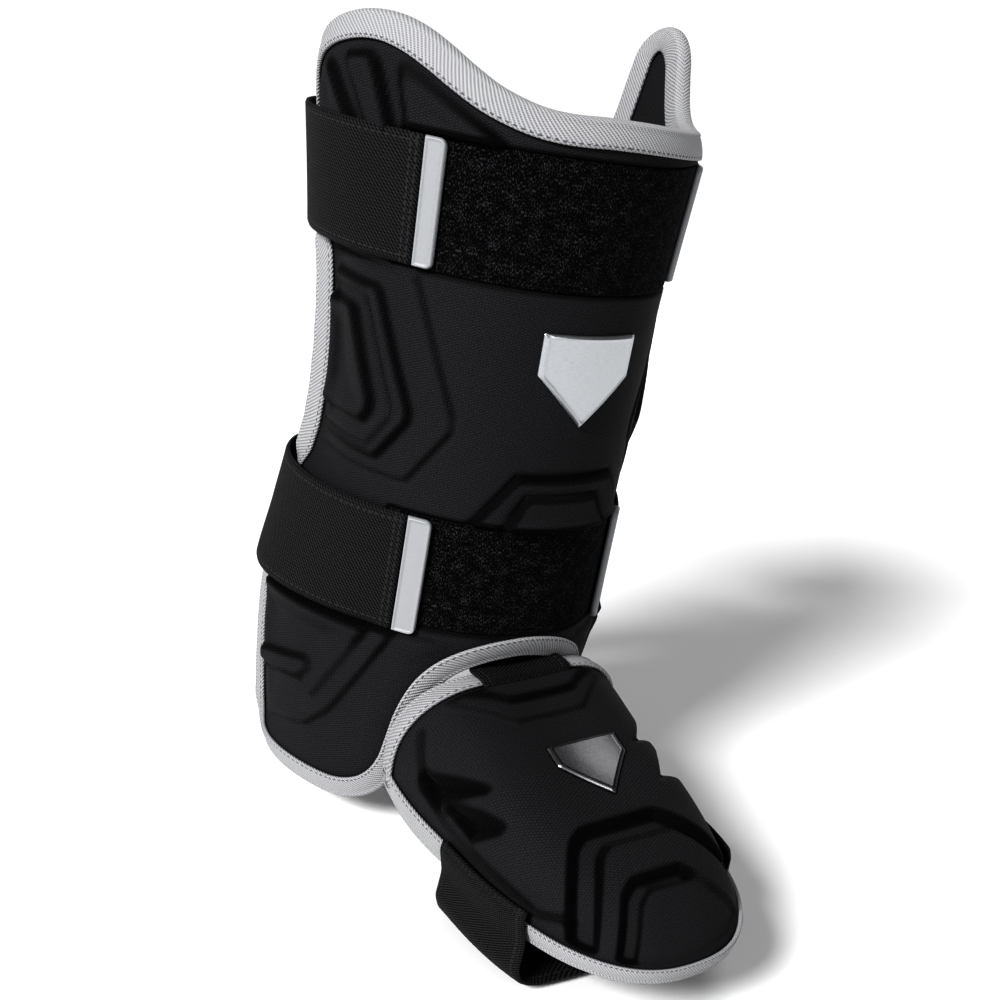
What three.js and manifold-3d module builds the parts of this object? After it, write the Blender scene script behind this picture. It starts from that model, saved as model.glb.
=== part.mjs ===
import * as THREE from 'three';
import { mergeVertices } from 'three/addons/utils/BufferGeometryUtils.js';
import Module from 'manifold-3d';

// Batter's leg guard: a foam shin panel with two straps, and a foot guard hung below it.
// Millimetres and degrees. Heights z are from the sole level; a turn of 0 faces the front (-Y),
// and a positive turn goes round to +X. A rise is measured outward from a panel's inner face.

const DEGREE = Math.PI / 180;
const PROBE = 0.3;
const FIT_GAP = 0.4;
const PATTERN_PER_DEGREE = 1.25;

const SHIN_FOAM = 8;
const SHIN_EDGE = 4.5;
const FOOT_FOAM = 7;
const FOOT_EDGE = 4;
const WEDGE_RUN = 10;
// How finely the pieces are divided to follow their curves.
const BADGE_FACET = 18;
const BAND_GRID = { columns: 14, rows: 2 };
const STRAP_GRID = { columns: 30, rows: 2 };
const FOOT_STRAP_GRID = { columns: 28, rows: 2 };
const CONNECTOR_GRID = { columns: 6, rows: 8 };
const RIM_STEPS = { side: 6, toe: 24, heel: 22 };
const SHIN_GRID = { across: 12, up: 18, limit: 22 };
const FOOT_GRID = { across: 9, up: 12, limit: 15.2 };

const TAPE = 1.2;
const TAPE_REACH = 8.5;
const PAD_INSET = 9.6;
const PAD_CLIMB = 1.6;
const PAD_ROOT = 2;
const SHARPEST = 0.7;
const SHIN_TAPE_GAP = 0.7;
const FOOT_TAPE_GAP = 1.2;

// The seat is on the inner face of the shin panel, at the front and half way up.
const SEAT_Y = -67.6;
const SEAT_Z = 165;

const FLARE_START = 55;
const FLARE_FULL = 115;
const WING_END = 116;

const SHIN_SECTIONS = [
  { z: -8, half: 66, front: 73.5, flare: 7.5, back: 60 },
  { z: 45, half: 66.5, front: 74, flare: 12.5, back: 58 },
  { z: 85, half: 67.5, front: 74.5, flare: 12.8, back: 57 },
  { z: 115, half: 67.8, front: 75, flare: 7.5, back: 57 },
  { z: 150, half: 68.5, front: 75.5, flare: 2.2, back: 60 },
  { z: 200, half: 70.8, front: 76, flare: 1, back: 66 },
  { z: 237, half: 72.3, front: 76.5, flare: 3, back: 69 },
  { z: 288, half: 76, front: 79.5, flare: 7, back: 70 },
  { z: 345, half: 80, front: 82, flare: 13, back: 70 },
];

// The panel's outline, a half at a time from the front of the top edge round to the notch.
const LEFT_TOP = [
  { turn: 7, z: 303 }, { turn: 14, z: 302.6 }, { turn: 21, z: 302.6 }, { turn: 28, z: 303.6 },
  { turn: 35, z: 305.8 }, { turn: 42, z: 309 }, { turn: 50, z: 314.2 }, { turn: 58, z: 319.8 },
  { turn: 66, z: 324.4 }, { turn: 74, z: 326.8 }, { turn: 82, z: 326.6 }, { turn: 90, z: 324.3 },
  { turn: 98, z: 320.4 }, { turn: 105, z: 314.8 }, { turn: 110, z: 307 }, { turn: 112.5, z: 297 },
];
const RIGHT_TOP = [
  { turn: 7, z: 302.8 }, { turn: 14, z: 302.4 }, { turn: 22, z: 301.8 }, { turn: 30, z: 301.2 },
  { turn: 38, z: 300.7 }, { turn: 46, z: 300.3 }, { turn: 54, z: 300.2 }, { turn: 62, z: 300.4 },
  { turn: 69, z: 301.6 }, { turn: 75, z: 304.6 }, { turn: 80, z: 310.2 }, { turn: 85, z: 319.5 },
  { turn: 89.5, z: 329 }, { turn: 95, z: 335.4 }, { turn: 101, z: 337.6 }, { turn: 106.5, z: 335 },
  { turn: 110.2, z: 328 }, { turn: 111, z: 317 }, { turn: 111.6, z: 300 },
];
const SIDE = [
  { turn: 113, z: 282 }, { turn: 112, z: 262 }, { turn: 110, z: 240 }, { turn: 108.7, z: 226 },
  { turn: 107.5, z: 212 }, { turn: 106.8, z: 198 }, { turn: 106.5, z: 184 }, { turn: 108.1, z: 163 },
  { turn: 109.8, z: 150 }, { turn: 111.2, z: 137 },
  { turn: 112.4, z: 122 }, { turn: 113.2, z: 107 }, { turn: 113.8, z: 93 }, { turn: 113.8, z: 79 },
  { turn: 113.5, z: 63 }, { turn: 112.8, z: 47 }, { turn: 111.6, z: 31 }, { turn: 109.5, z: 16.5 },
  { turn: 105, z: 7 }, { turn: 98.5, z: 2.4 }, { turn: 90, z: 0.7 }, { turn: 81, z: 0.2 },
  { turn: 72, z: 0.1 }, { turn: 63, z: 0.8 }, { turn: 55.5, z: 3.6 }, { turn: 49, z: 8.6 },
  { turn: 44, z: 16 }, { turn: 40.8, z: 25 }, { turn: 39.1, z: 36 }, { turn: 37.5, z: 47 },
  { turn: 35.2, z: 56 }, { turn: 32, z: 63.8 }, { turn: 27, z: 70.8 }, { turn: 20.5, z: 76 },
  { turn: 13, z: 79.6 }, { turn: 6, z: 81.4 },
];
const TOP_CENTRE_Z = 303;
const NOTCH_CENTRE_Z = 82;
const NOTCH_FALL = 0.0142;

// Raised pads of the shin panel: level is where a pad starts above the foam, rise what it adds.
const SHIN_PADS = [
  { side: 'both', level: 0, rise: 2.4, run: 3.4, corners: [
    [-95, 229], [-71, 229], [-65, 223], [-52.5, 183], [-53, 173], [-63, 158], [-95, 154]] },
  { side: 'both', level: 2.4, rise: 2.4, run: 3.4, corners: [
    [-95, 217], [-84, 217], [-81, 213], [-69, 181], [-70, 177], [-76, 168], [-95, 165]] },
  { side: 'left', level: 0, rise: 2.6, run: 3, corners: [
    [-100, 293], [-100, 307], [-96, 311], [-92, 311], [-83, 293]] },
  { side: 'left', level: 0, rise: 2.6, run: 3, corners: [
    [-80, 293], [-88, 313], [-80, 315], [-74, 315], [-69, 293]] },
  { side: 'left', level: 0, rise: 2.6, run: 3, corners: [
    [-66, 293], [-70, 315], [-65, 314], [-40, 298], [-37, 293]] },
  { side: 'right', level: 0, rise: 6, run: 3, corners: [
    [-102, 293], [-102, 315], [-97, 325], [-89, 322], [-79, 306], [-74, 293]] },
  { side: 'middle', level: 0, rise: 1.9, run: 3, corners: [
    [-30, 143], [-18, 162], [0, 164.5], [18, 164], [26, 164], [42, 143]] },
  { side: 'middle', level: 1.9, rise: 1.7, run: 3, corners: [
    [-21, 144], [-13, 153], [0, 156], [15, 156], [28, 144]] },
  { side: 'both', level: 0, rise: 1.5, run: 3, corners: [
    [-102, 19], [-84, 20], [-73, 31], [-48, 82], [-58, 85], [-102, 85]] },
  { side: 'both', level: 1.5, rise: 1.5, run: 3, corners: [
    [-102, 40], [-78, 40], [-73.5, 44], [-55, 80], [-60, 84], [-102, 84]] },
  { side: 'both', level: 3, rise: 1.6, run: 2.4, corners: [
    [-102, 46], [-102, 60], [-86, 63], [-81, 60], [-81, 53], [-86, 49]] },
];

const BAND_THICK = 1.5;
const BAND_SINK = 2.4;
const BANDS = {
  upper: { low: 238, high: 289, turn: 66 },
  lower: { low: 91.5, high: 139, turn: 57 },
};
const STRAP_THICK = 2.2;
const STRAP_CLIMB = 24;
const STRAP_OVER_TAPE = 10.1;
const STRAPS = {
  upper: { low: 238.5, high: 288.5, rise: 8.1, tabTurn: 52, tabWidth: 8.2 },
  lower: { low: 87.5, high: 138.5, rise: 8.6, tabTurn: 41, tabWidth: 10.2 },
};
const TAB_THICK = 2.4;
const TAB_RADIUS = 3;
const TAB_BEVEL = 0.6;

const BADGE_THICK = 1.6;
const BADGE_BEVEL = 0.6;
const BADGE_SHOULDER = 0.45;
const SHIN_BADGE = { turn: 3, z: 203, width: 46, height: 38 };
const FOOT_BADGE = { x: 5, t: 61, width: 30, height: 25 };

// The foot guard hangs in its own frame: x across, t forward from the ankle, n up from the rim.
const FOOT_YAW = -1.1;
const FOOT_PITCH = -1.7;
const FOOT_ROLL = 5.9;
const FOOT_ORIGIN = new THREE.Vector3(6.3, -65.2, 11.8);
const FOOT_HALF = 50;
const FOOT_TOE_START = 58;
const FOOT_TOE_LENGTH = 86;
const FOOT_PLAN_POWER = 2.33;
const FOOT_ARCH_POWER = 2.2;
const FOOT_SHOULDER = { out: 7, start: 60, run: 92 };
const FOOT_HEEL_T = 10;
const FOOT_HEEL_SWEEP = 16.2;
const FOOT_HEEL_POWER = 2.5;
const HEEL_SPREAD = 5;
const HEEL_SPREAD_RUN = 54;
const RIM_LIFT = 10;
const RIM_LIFT_RUN = 40;
const PATTERN_HALF = 75;
const PATTERN_BACK = 60;
const PATTERN_TOE = 100;
const FOOT_CREST = [
  { t: -20, n: 68 }, { t: 0, n: 63.5 }, { t: 20, n: 58.3 }, { t: 36, n: 53 }, { t: 60, n: 43.5 },
  { t: 85, n: 36 }, { t: 105, n: 34 }, { t: 144, n: 30 },
];

// Steps of the foot guard's top, from the outside in: a positive rise adds and a negative one cuts.
const FOOT_STEPS = [
  { side: 'middle', level: 0, rise: 2, run: 4, corners: [
    [-27, 24], [-19, 36], [20, 36], [29, 24]] },
  { side: 'both', level: 0, rise: -2.6, run: 2.4, corners: [
    [-46.5, 20], [-33, 46], [-34, 52], [-45.5, 38]] },
  { side: 'both', level: 0, rise: -2.6, run: 2.4, corners: [
    [-47, 40], [-36, 64], [-37, 71], [-46.5, 57]] },
  { side: 'middle', level: 0, rise: -3, run: 7, corners: [
    [-36, 113], [-18.5, 86.5], [18.5, 86.5], [36, 113], [26, 126], [-26, 126]] },
  { side: 'middle', level: -3, rise: 2.8, run: 5, corners: [
    [-29, 121], [-18, 100], [18, 100], [29, 121], [21, 130], [-21, 130]] },
  { side: 'middle', level: -0.2, rise: -2.2, run: 4, corners: [
    [-24, 127], [-14.5, 112], [14.5, 112], [24, 127], [17, 132], [-17, 132]] },
];

const CONNECTOR_HALF = 18;
const CONNECTOR_THICK = 1.6;
// How far the elastic reaches: up inside the shin panel, below its notch, then past and over the heel edge.
const CONNECTOR_REACH = { top: 18, tuck: 6, drop: 5.8, past: 2.6, over: 8 };
const FOOT_STRAP_THICK = 2;
const FOOT_STRAP_START = 41;
const FOOT_STRAP_END = 97;
// One side of the foot strap, from the seam over the tape round to the middle of the sole.
const FOOT_STRAP_PATH = [
  { x: -53.9, n: 10.5 }, { x: -53.4, n: 5 }, { x: -52.9, n: -0.5 }, { x: -54, n: -6.5 },
  { x: -54.8, n: -12 }, { x: -52.5, n: -17.5 }, { x: -46, n: -20.6 }, { x: -34, n: -22 },
  { x: -17, n: -22.8 }, { x: 0, n: -23 },
];

const COLOURS = {
  foam: { color: 0x17181a, roughness: 0.82, metalness: 0 },
  loop: { color: 0x0e0e10, roughness: 0.95, metalness: 0 },
  elastic: { color: 0x131315, roughness: 0.88, metalness: 0 },
  tape: { color: 0xd8d8da, roughness: 0.8, metalness: 0 },
  rubber: { color: 0xbfc0c4, roughness: 0.5, metalness: 0 },
  silver: { color: 0xc4c6ca, roughness: 0.28, metalness: 0.9 },
};

const wasm = await Module();
wasm.setup();

function smooth(value) {
  const t = Math.min(Math.max(value, 0), 1);
  return t * t * (3 - 2 * t);
}

// A smooth curve through the rows of a table.
function readTable(rows, key, column, value) {
  const last = rows.length - 1;
  const at = Math.min(Math.max(value, rows[0][key]), rows[last][key]);
  let i = 0;
  while (i < last - 1 && rows[i + 1][key] < at) i += 1;
  const slope = (k) => {
    const before = rows[Math.max(k - 1, 0)];
    const after = rows[Math.min(k + 1, last)];
    return (after[column] - before[column]) / (after[key] - before[key]);
  };
  const span = rows[i + 1][key] - rows[i][key];
  const t = (at - rows[i][key]) / span;
  return (2 * t ** 3 - 3 * t ** 2 + 1) * rows[i][column]
    + (t ** 3 - 2 * t ** 2 + t) * span * slope(i)
    + (3 * t ** 2 - 2 * t ** 3) * rows[i + 1][column]
    + (t ** 3 - t ** 2) * span * slope(i + 1);
}

// A point of the shin panel, or of a strap that goes on round the back of the leg.
function shinPoint(turn, z, rise) {
  const bearing = turn > 180 ? turn - 360 : turn;
  const away = Math.abs(bearing);
  const lift = rise - SHIN_FOAM;
  const half = readTable(SHIN_SECTIONS, 'z', 'half', z);
  const front = readTable(SHIN_SECTIONS, 'z', 'front', z);
  const flare = readTable(SHIN_SECTIONS, 'z', 'flare', z);
  const back = readTable(SHIN_SECTIONS, 'z', 'back', z);
  const wing = smooth((away - FLARE_START) / (FLARE_FULL - FLARE_START));
  const behind = smooth((away - WING_END) / (180 - WING_END));
  const depth = front + (back - front) * behind + lift;
  const x = (half + lift) * Math.sin(bearing * DEGREE) + Math.sign(bearing) * flare * wing * (1 - behind);
  return new THREE.Vector3(x, -depth * Math.cos(bearing * DEGREE), z);
}

const footTurn = new THREE.Matrix4().makeRotationZ(FOOT_YAW * DEGREE)
  .multiply(new THREE.Matrix4().makeRotationX(FOOT_PITCH * DEGREE))
  .multiply(new THREE.Matrix4().makeRotationY(-FOOT_ROLL * DEGREE));

function footFrame(x, t, n) {
  return new THREE.Vector3(x, -t, n).applyMatrix4(footTurn).add(FOOT_ORIGIN);
}

function heelT(x) {
  return FOOT_HEEL_T - FOOT_HEEL_SWEEP * (Math.abs(x) / FOOT_HALF) ** FOOT_HEEL_POWER;
}

function rimHalf(t) {
  const along = Math.min(Math.max(t - FOOT_TOE_START, 0) / FOOT_TOE_LENGTH, 1);
  return FOOT_HALF * (1 - along ** FOOT_PLAN_POWER) ** (1 / FOOT_PLAN_POWER);
}

// Height of the foot guard's outer face over a point of its plan.
function archHeight(x, t) {
  const along = Math.max(t - FOOT_TOE_START, 0) / FOOT_TOE_LENGTH;
  const across = Math.abs(x) / FOOT_HALF;
  const out = Math.min((across ** FOOT_PLAN_POWER + along ** FOOT_PLAN_POWER) ** (1 / FOOT_PLAN_POWER), 1);
  const rim = RIM_LIFT * (Math.max(RIM_LIFT_RUN - t, 0) / RIM_LIFT_RUN) ** 2;
  const crest = readTable(FOOT_CREST, 't', 'n', t);
  return rim + (crest - rim) * (1 - out ** FOOT_ARCH_POWER) ** (1 / FOOT_ARCH_POWER);
}

// Where a spot of the foot guard's flat pattern lies in plan, and how far out towards the rim it is.
// Behind the toe the pattern is a strip bent over the arch; the toe is a half round drawn in to its rim.
function footPlan(across, up) {
  const side = across / PATTERN_HALF;
  if (up >= -PATTERN_BACK) {
    const x = FOOT_HALF * Math.sin(Math.min(Math.max(side, -1), 1) * 90 * DEGREE);
    const t = FOOT_TOE_START + (heelT(x) - FOOT_TOE_START) * (1 + up / PATTERN_BACK);
    return { x, t, out: Math.abs(side) };
  }
  const ahead = -(up + PATTERN_BACK) / PATTERN_TOE;
  const out = (Math.abs(side) ** FOOT_PLAN_POWER + ahead ** FOOT_PLAN_POWER) ** (1 / FOOT_PLAN_POWER);
  const draw = Math.sin(Math.min(out, 1) * 90 * DEGREE) / out;
  return { x: FOOT_HALF * side * draw, t: FOOT_TOE_START + FOOT_TOE_LENGTH * ahead * draw, out };
}

// Where a plan point of the foot guard lies on its flat pattern.
function footPattern(x, t) {
  if (t <= FOOT_TOE_START) {
    const share = (t - FOOT_TOE_START) / (heelT(x) - FOOT_TOE_START);
    const quarter = Math.asin(x / FOOT_HALF) / (90 * DEGREE);
    return new THREE.Vector2(PATTERN_HALF * quarter, PATTERN_BACK * (share - 1));
  }
  const side = x / FOOT_HALF;
  const ahead = (t - FOOT_TOE_START) / FOOT_TOE_LENGTH;
  const out = (Math.abs(side) ** FOOT_PLAN_POWER + ahead ** FOOT_PLAN_POWER) ** (1 / FOOT_PLAN_POWER);
  const draw = Math.asin(out) / (90 * DEGREE) / out;
  return new THREE.Vector2(PATTERN_HALF * side * draw, -PATTERN_BACK - PATTERN_TOE * ahead * draw);
}

function archPoint(across, up) {
  const { x, t } = footPlan(across, up);
  const spread = 1 + HEEL_SPREAD / FOOT_HALF * smooth(1 - t / HEEL_SPREAD_RUN);
  return new THREE.Vector3(x * spread, -t, archHeight(x, t));
}

// A point of the foot guard from its flat pattern, where up the page is towards the ankle.
// Past the edge of the pattern the foam goes straight on.
function footPoint(across, up, rise) {
  const upHeld = Math.min(up, 0);
  const { t, out } = footPlan(across, upHeld);
  const held = 1 / Math.max(out, 1);
  const acrossIn = across * held;
  const upIn = upHeld < -PATTERN_BACK ? (upHeld + PATTERN_BACK) * held - PATTERN_BACK : upHeld;
  const base = archPoint(acrossIn, upIn);
  const acrossStep = across > 0 ? -PROBE : PROBE;
  const upStep = up > -PATTERN_BACK ? -PROBE : PROBE;
  const alongAcross = archPoint(acrossIn + acrossStep, upIn).sub(base).divideScalar(acrossStep).normalize();
  const alongUp = archPoint(acrossIn, upIn + upStep).sub(base).divideScalar(upStep).normalize();
  const normal = new THREE.Vector3().crossVectors(alongAcross, alongUp).normalize();
  const past = new THREE.Vector2(across - acrossIn, up - upIn);
  const farPast = past.length();
  if (farPast > 0) {
    past.multiplyScalar(PROBE / farPast);
    const inner = archPoint(acrossIn - past.x, upIn - past.y);
    const onward = base.clone().sub(inner).normalize();
    base.addScaledVector(onward, farPast);
  }
  const full = FOOT_SHOULDER.out * Math.sin(Math.min(out, 1) * 180 * DEGREE) ** 2
    * (1 - smooth((t - FOOT_SHOULDER.start) / FOOT_SHOULDER.run));
  base.addScaledVector(normal, rise - FOOT_FOAM + full);
  return footFrame(base.x, -base.y, base.z);
}

function toSolid(geometry) {
  const bare = new THREE.BufferGeometry();
  bare.setAttribute('position', geometry.getAttribute('position'));
  if (geometry.index) bare.setIndex(geometry.index);
  const merged = mergeVertices(bare, 1e-4);
  return new wasm.Manifold(new wasm.Mesh({
    numProp: 3,
    vertProperties: new Float32Array(merged.getAttribute('position').array),
    triVerts: new Uint32Array(merged.index.array),
  }));
}

function indexed(points, triangles) {
  const geometry = new THREE.BufferGeometry();
  const numbers = points.flatMap((p) => p.toArray());
  geometry.setAttribute('position', new THREE.Float32BufferAttribute(numbers, 3));
  geometry.setIndex(triangles.flat());
  return geometry;
}

function readSolid(solid) {
  const mesh = solid.getMesh();
  const points = [];
  for (let i = 0; i < mesh.vertProperties.length; i += mesh.numProp) {
    points.push(new THREE.Vector3().fromArray(mesh.vertProperties, i));
  }
  const triangles = [];
  for (let i = 0; i < mesh.triVerts.length; i += 3) triangles.push(Array.from(mesh.triVerts.slice(i, i + 3)));
  return { points, triangles };
}

// Halves every edge longer than the limit, so that a flat piece can follow a curve.
function refine({ points, triangles }, limit) {
  const middles = new Map();
  const middle = (a, b) => {
    const key = a < b ? `${a}_${b}` : `${b}_${a}`;
    if (!middles.has(key)) {
      middles.set(key, points.length);
      points.push(points[a].clone().add(points[b]).multiplyScalar(0.5));
    }
    return middles.get(key);
  };
  const waiting = [...triangles];
  const done = [];
  while (waiting.length > 0) {
    const [a, b, c] = waiting.pop();
    const turns = [[a, b, c], [b, c, a], [c, a, b]];
    const lengths = turns.map(([i, j]) => points[i].distanceTo(points[j]));
    const longest = Math.max(...lengths);
    if (longest <= limit) {
      done.push([a, b, c]);
      continue;
    }
    const [i, j, k] = turns[lengths.indexOf(longest)];
    const m = middle(i, j);
    waiting.push([i, m, k], [m, j, k]);
  }
  return { points, triangles: done };
}

// Forms a flat piece (across, up, rise) over a curved one.
function formed(flat, limit, form) {
  const { points, triangles } = refine(flat, limit);
  return indexed(points.map((p) => form(p.x, p.y, p.z)), triangles);
}

function volumeOf(points, triangles) {
  const cross = new THREE.Vector3();
  const corner = ([a, b, c]) => points[a].dot(cross.crossVectors(points[b], points[c]));
  return triangles.reduce((sum, triangle) => sum + corner(triangle), 0) / 6;
}

function outward(points, triangles) {
  const turned = volumeOf(points, triangles) < 0 ? triangles.map(([a, b, c]) => [a, c, b]) : triangles;
  return indexed(points, turned);
}

// A closed sheet between two faces, each given as a function of two shares from 0 to 1.
function sheet(faceA, faceB, { columns, rows }) {
  const points = [];
  const triangles = [];
  const layer = (columns + 1) * (rows + 1);
  const at = (face, i, j) => face * layer + j * (columns + 1) + i;
  for (const face of [faceA, faceB]) {
    for (let j = 0; j <= rows; j += 1) {
      for (let i = 0; i <= columns; i += 1) points.push(face(i / columns, j / rows));
    }
  }
  const quad = (a, b, c, d) => triangles.push([a, b, c], [a, c, d]);
  for (let j = 0; j < rows; j += 1) {
    for (let i = 0; i < columns; i += 1) {
      quad(at(0, i, j), at(0, i + 1, j), at(0, i + 1, j + 1), at(0, i, j + 1));
      quad(at(1, i, j), at(1, i, j + 1), at(1, i + 1, j + 1), at(1, i + 1, j));
    }
  }
  for (let i = 0; i < columns; i += 1) {
    quad(at(0, i, 0), at(1, i, 0), at(1, i + 1, 0), at(0, i + 1, 0));
    quad(at(0, i + 1, rows), at(1, i + 1, rows), at(1, i, rows), at(0, i, rows));
  }
  for (let j = 0; j < rows; j += 1) {
    quad(at(0, 0, j + 1), at(1, 0, j + 1), at(1, 0, j), at(0, 0, j));
    quad(at(0, columns, j), at(1, columns, j), at(1, columns, j + 1), at(0, columns, j + 1));
  }
  return outward(points, triangles);
}

// A corner of an outline, moved inward.
function insetCorner(outline, k, inset) {
  const count = outline.length;
  const here = outline[k];
  const sideIn = here.clone().sub(outline[(k + count - 1) % count]).normalize();
  const sideOut = outline[(k + 1) % count].clone().sub(here).normalize();
  const inward = new THREE.Vector2(-sideIn.y - sideOut.y, sideIn.x + sideOut.x).normalize();
  const stretch = 1 / Math.max(inward.dot(new THREE.Vector2(-sideIn.y, sideIn.x)), SHARPEST);
  return here.clone().addScaledVector(inward, inset * stretch);
}

// Tape folded over a panel's edge: a closed section carried round the outline.
function foldedTape(outline, foam, edge, gap, form) {
  const climb = (foam - edge) / WEDGE_RUN;
  const outer = gap + TAPE;
  const section = [
    { inset: TAPE_REACH, rise: edge + climb * TAPE_REACH + outer },
    { inset: -gap / 2, rise: edge + outer },
    { inset: -outer, rise: edge },
    { inset: -outer, rise: 0 },
    { inset: -gap / 2, rise: -outer },
    { inset: TAPE_REACH, rise: -outer },
    { inset: TAPE_REACH, rise: -gap },
    { inset: -gap, rise: -gap },
    { inset: -gap, rise: edge + gap },
    { inset: TAPE_REACH, rise: edge + climb * TAPE_REACH + gap },
  ];
  const count = outline.length;
  const points = [];
  outline.forEach((here, k) => {
    section.forEach(({ inset, rise }) => {
      const spot = insetCorner(outline, k, inset);
      points.push(form(spot.x, spot.y, rise));
    });
  });
  const ring = section.length;
  const triangles = [];
  for (let k = 0; k < count; k += 1) {
    for (let s = 0; s < ring; s += 1) {
      const a = k * ring + s;
      const b = k * ring + ((s + 1) % ring);
      const c = ((k + 1) % count) * ring + ((s + 1) % ring);
      const d = ((k + 1) % count) * ring + s;
      triangles.push([a, b, c], [a, c, d]);
    }
  }
  return outward(points, triangles);
}

function edgeDistance(across, up, outline) {
  const spot = new THREE.Vector3(across, up, 0);
  const near = new THREE.Vector3();
  const side = new THREE.Line3();
  return Math.min(...outline.map((from, k) => {
    const to = outline[(k + 1) % outline.length];
    side.set(side.start.set(from.x, from.y, 0), side.end.set(to.x, to.y, 0));
    return side.closestPointToPoint(spot, true, near).distanceTo(spot);
  }));
}

// Forms a foam panel, with its outer face thinned down to the edge thickness along the outline.
function formedPanel(panel, outline, foam, edge, limit, form) {
  return formed(readSolid(panel), limit, (across, up, rise) => {
    const distance = edgeDistance(across, up, outline);
    const most = edge + (foam - edge) / WEDGE_RUN * distance + PAD_CLIMB * Math.max(distance - PAD_INSET, 0);
    return form(across, up, Math.min(rise, most));
  });
}

// A prism whose sides are upright from base up and then slope in towards its top.
function sloped(corners, base, start, end, run) {
  const solid = new THREE.ExtrudeGeometry(new THREE.Shape(corners), {
    depth: start - base, bevelEnabled: true, bevelThickness: end - start,
    bevelSize: run, bevelOffset: -run, bevelSegments: 1,
  });
  return toSolid(solid.translate(0, 0, base));
}

function anticlockwise(corners) {
  return THREE.ShapeUtils.isClockWise(corners) ? [...corners].reverse() : corners;
}

function sides({ side, corners }) {
  const mirrored = corners.map(([x, y]) => [-x, y]);
  if (side === 'both') return [corners, mirrored];
  return side === 'right' ? [mirrored] : [corners];
}

// Flat foam whose two faces are gridded, so that it can follow a curve.
function gridSlab(wide, tall, thick, grid) {
  const columns = Math.round(wide / grid.across);
  const rows = Math.round(tall / grid.up);
  return toSolid(new THREE.BoxGeometry(wide, tall, thick, columns, rows, 1).translate(0, 0, thick / 2));
}

// Foam cut to an outline, with its pads raised and its steps cut.
function foamPanel(slab, outline, foam, steps, place) {
  const prism = (shape) => toSolid(new THREE.ExtrudeGeometry(new THREE.Shape(shape), {
    depth: 3 * foam, bevelEnabled: false,
  }).translate(0, 0, -foam));
  const inside = prism(outline.map((corner, k) => insetCorner(outline, k, PAD_INSET)));
  let panel = slab.intersect(prism(outline));
  for (const step of steps) {
    for (const corners of sides(step)) {
      const spots = anticlockwise(corners.map(([x, y]) => place(x, y)));
      const start = foam + step.level;
      const pad = sloped(spots, start - PAD_ROOT, start, start + Math.abs(step.rise), step.run);
      if (step.rise > 0) panel = panel.add(pad.intersect(inside));
      else panel = panel.subtract(pad.mirror([0, 0, 1]).translate(0, 0, 2 * start));
    }
  }
  return panel;
}

const group = new THREE.Group();
group.name = 'batters_leg_guard';

function addPiece(name, geometry, look) {
  geometry.translate(0, -SEAT_Y, -SEAT_Z);
  geometry.computeVertexNormals();
  const piece = new THREE.Mesh(geometry, new THREE.MeshStandardMaterial(look));
  piece.name = name;
  group.add(piece);
}

const shinSpot = (turn, z) => new THREE.Vector2(turn * PATTERN_PER_DEGREE, z);
const shinForm = (across, up, rise) => shinPoint(across / PATTERN_PER_DEGREE, up, rise);

const rightHalf = [...RIGHT_TOP, ...SIDE].map(({ turn, z }) => shinSpot(turn, z));
const leftHalf = [...LEFT_TOP, ...SIDE].map(({ turn, z }) => shinSpot(-turn, z));
const shinOutline = anticlockwise([
  shinSpot(0, TOP_CENTRE_Z), ...rightHalf, shinSpot(0, NOTCH_CENTRE_Z), ...leftHalf.reverse(),
]);

const slabLow = SHIN_SECTIONS[0].z;
const slabTall = SHIN_SECTIONS.at(-1).z - slabLow;
const shinSlab = gridSlab(PATTERN_PER_DEGREE * 2 * WING_END, slabTall, SHIN_FOAM, SHIN_GRID)
  .translate(0, slabLow + slabTall / 2, 0);
let shin = foamPanel(shinSlab, shinOutline, SHIN_FOAM, SHIN_PADS, shinSpot);
for (const band of Object.values(BANDS)) {
  const half = band.turn * PATTERN_PER_DEGREE + FIT_GAP;
  const channel = [
    new THREE.Vector2(-half, band.low - FIT_GAP), new THREE.Vector2(half, band.low - FIT_GAP),
    new THREE.Vector2(half, band.high + FIT_GAP), new THREE.Vector2(-half, band.high + FIT_GAP),
  ];
  const cutter = new THREE.ExtrudeGeometry(new THREE.Shape(channel), {
    depth: SHIN_FOAM, bevelEnabled: false,
  });
  shin = shin.subtract(toSolid(cutter.translate(0, 0, SHIN_FOAM - BAND_SINK)));
}
addPiece('shin_shell', formedPanel(
  shin, shinOutline, SHIN_FOAM, SHIN_EDGE, SHIN_GRID.limit, shinForm), COLOURS.foam);
addPiece('shin_binding', foldedTape(
  shinOutline, SHIN_FOAM, SHIN_EDGE, SHIN_TAPE_GAP, shinForm), COLOURS.tape);

for (const [name, band] of Object.entries(BANDS)) {
  const face = (rise) => (u, v) => shinPoint(
    band.turn * (2 * u - 1), band.low + (band.high - band.low) * v, rise);
  const floor = SHIN_FOAM - BAND_SINK + FIT_GAP;
  addPiece(`${name}_loop_band`, sheet(face(floor), face(floor + BAND_THICK), BAND_GRID), COLOURS.loop);
}

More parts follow.
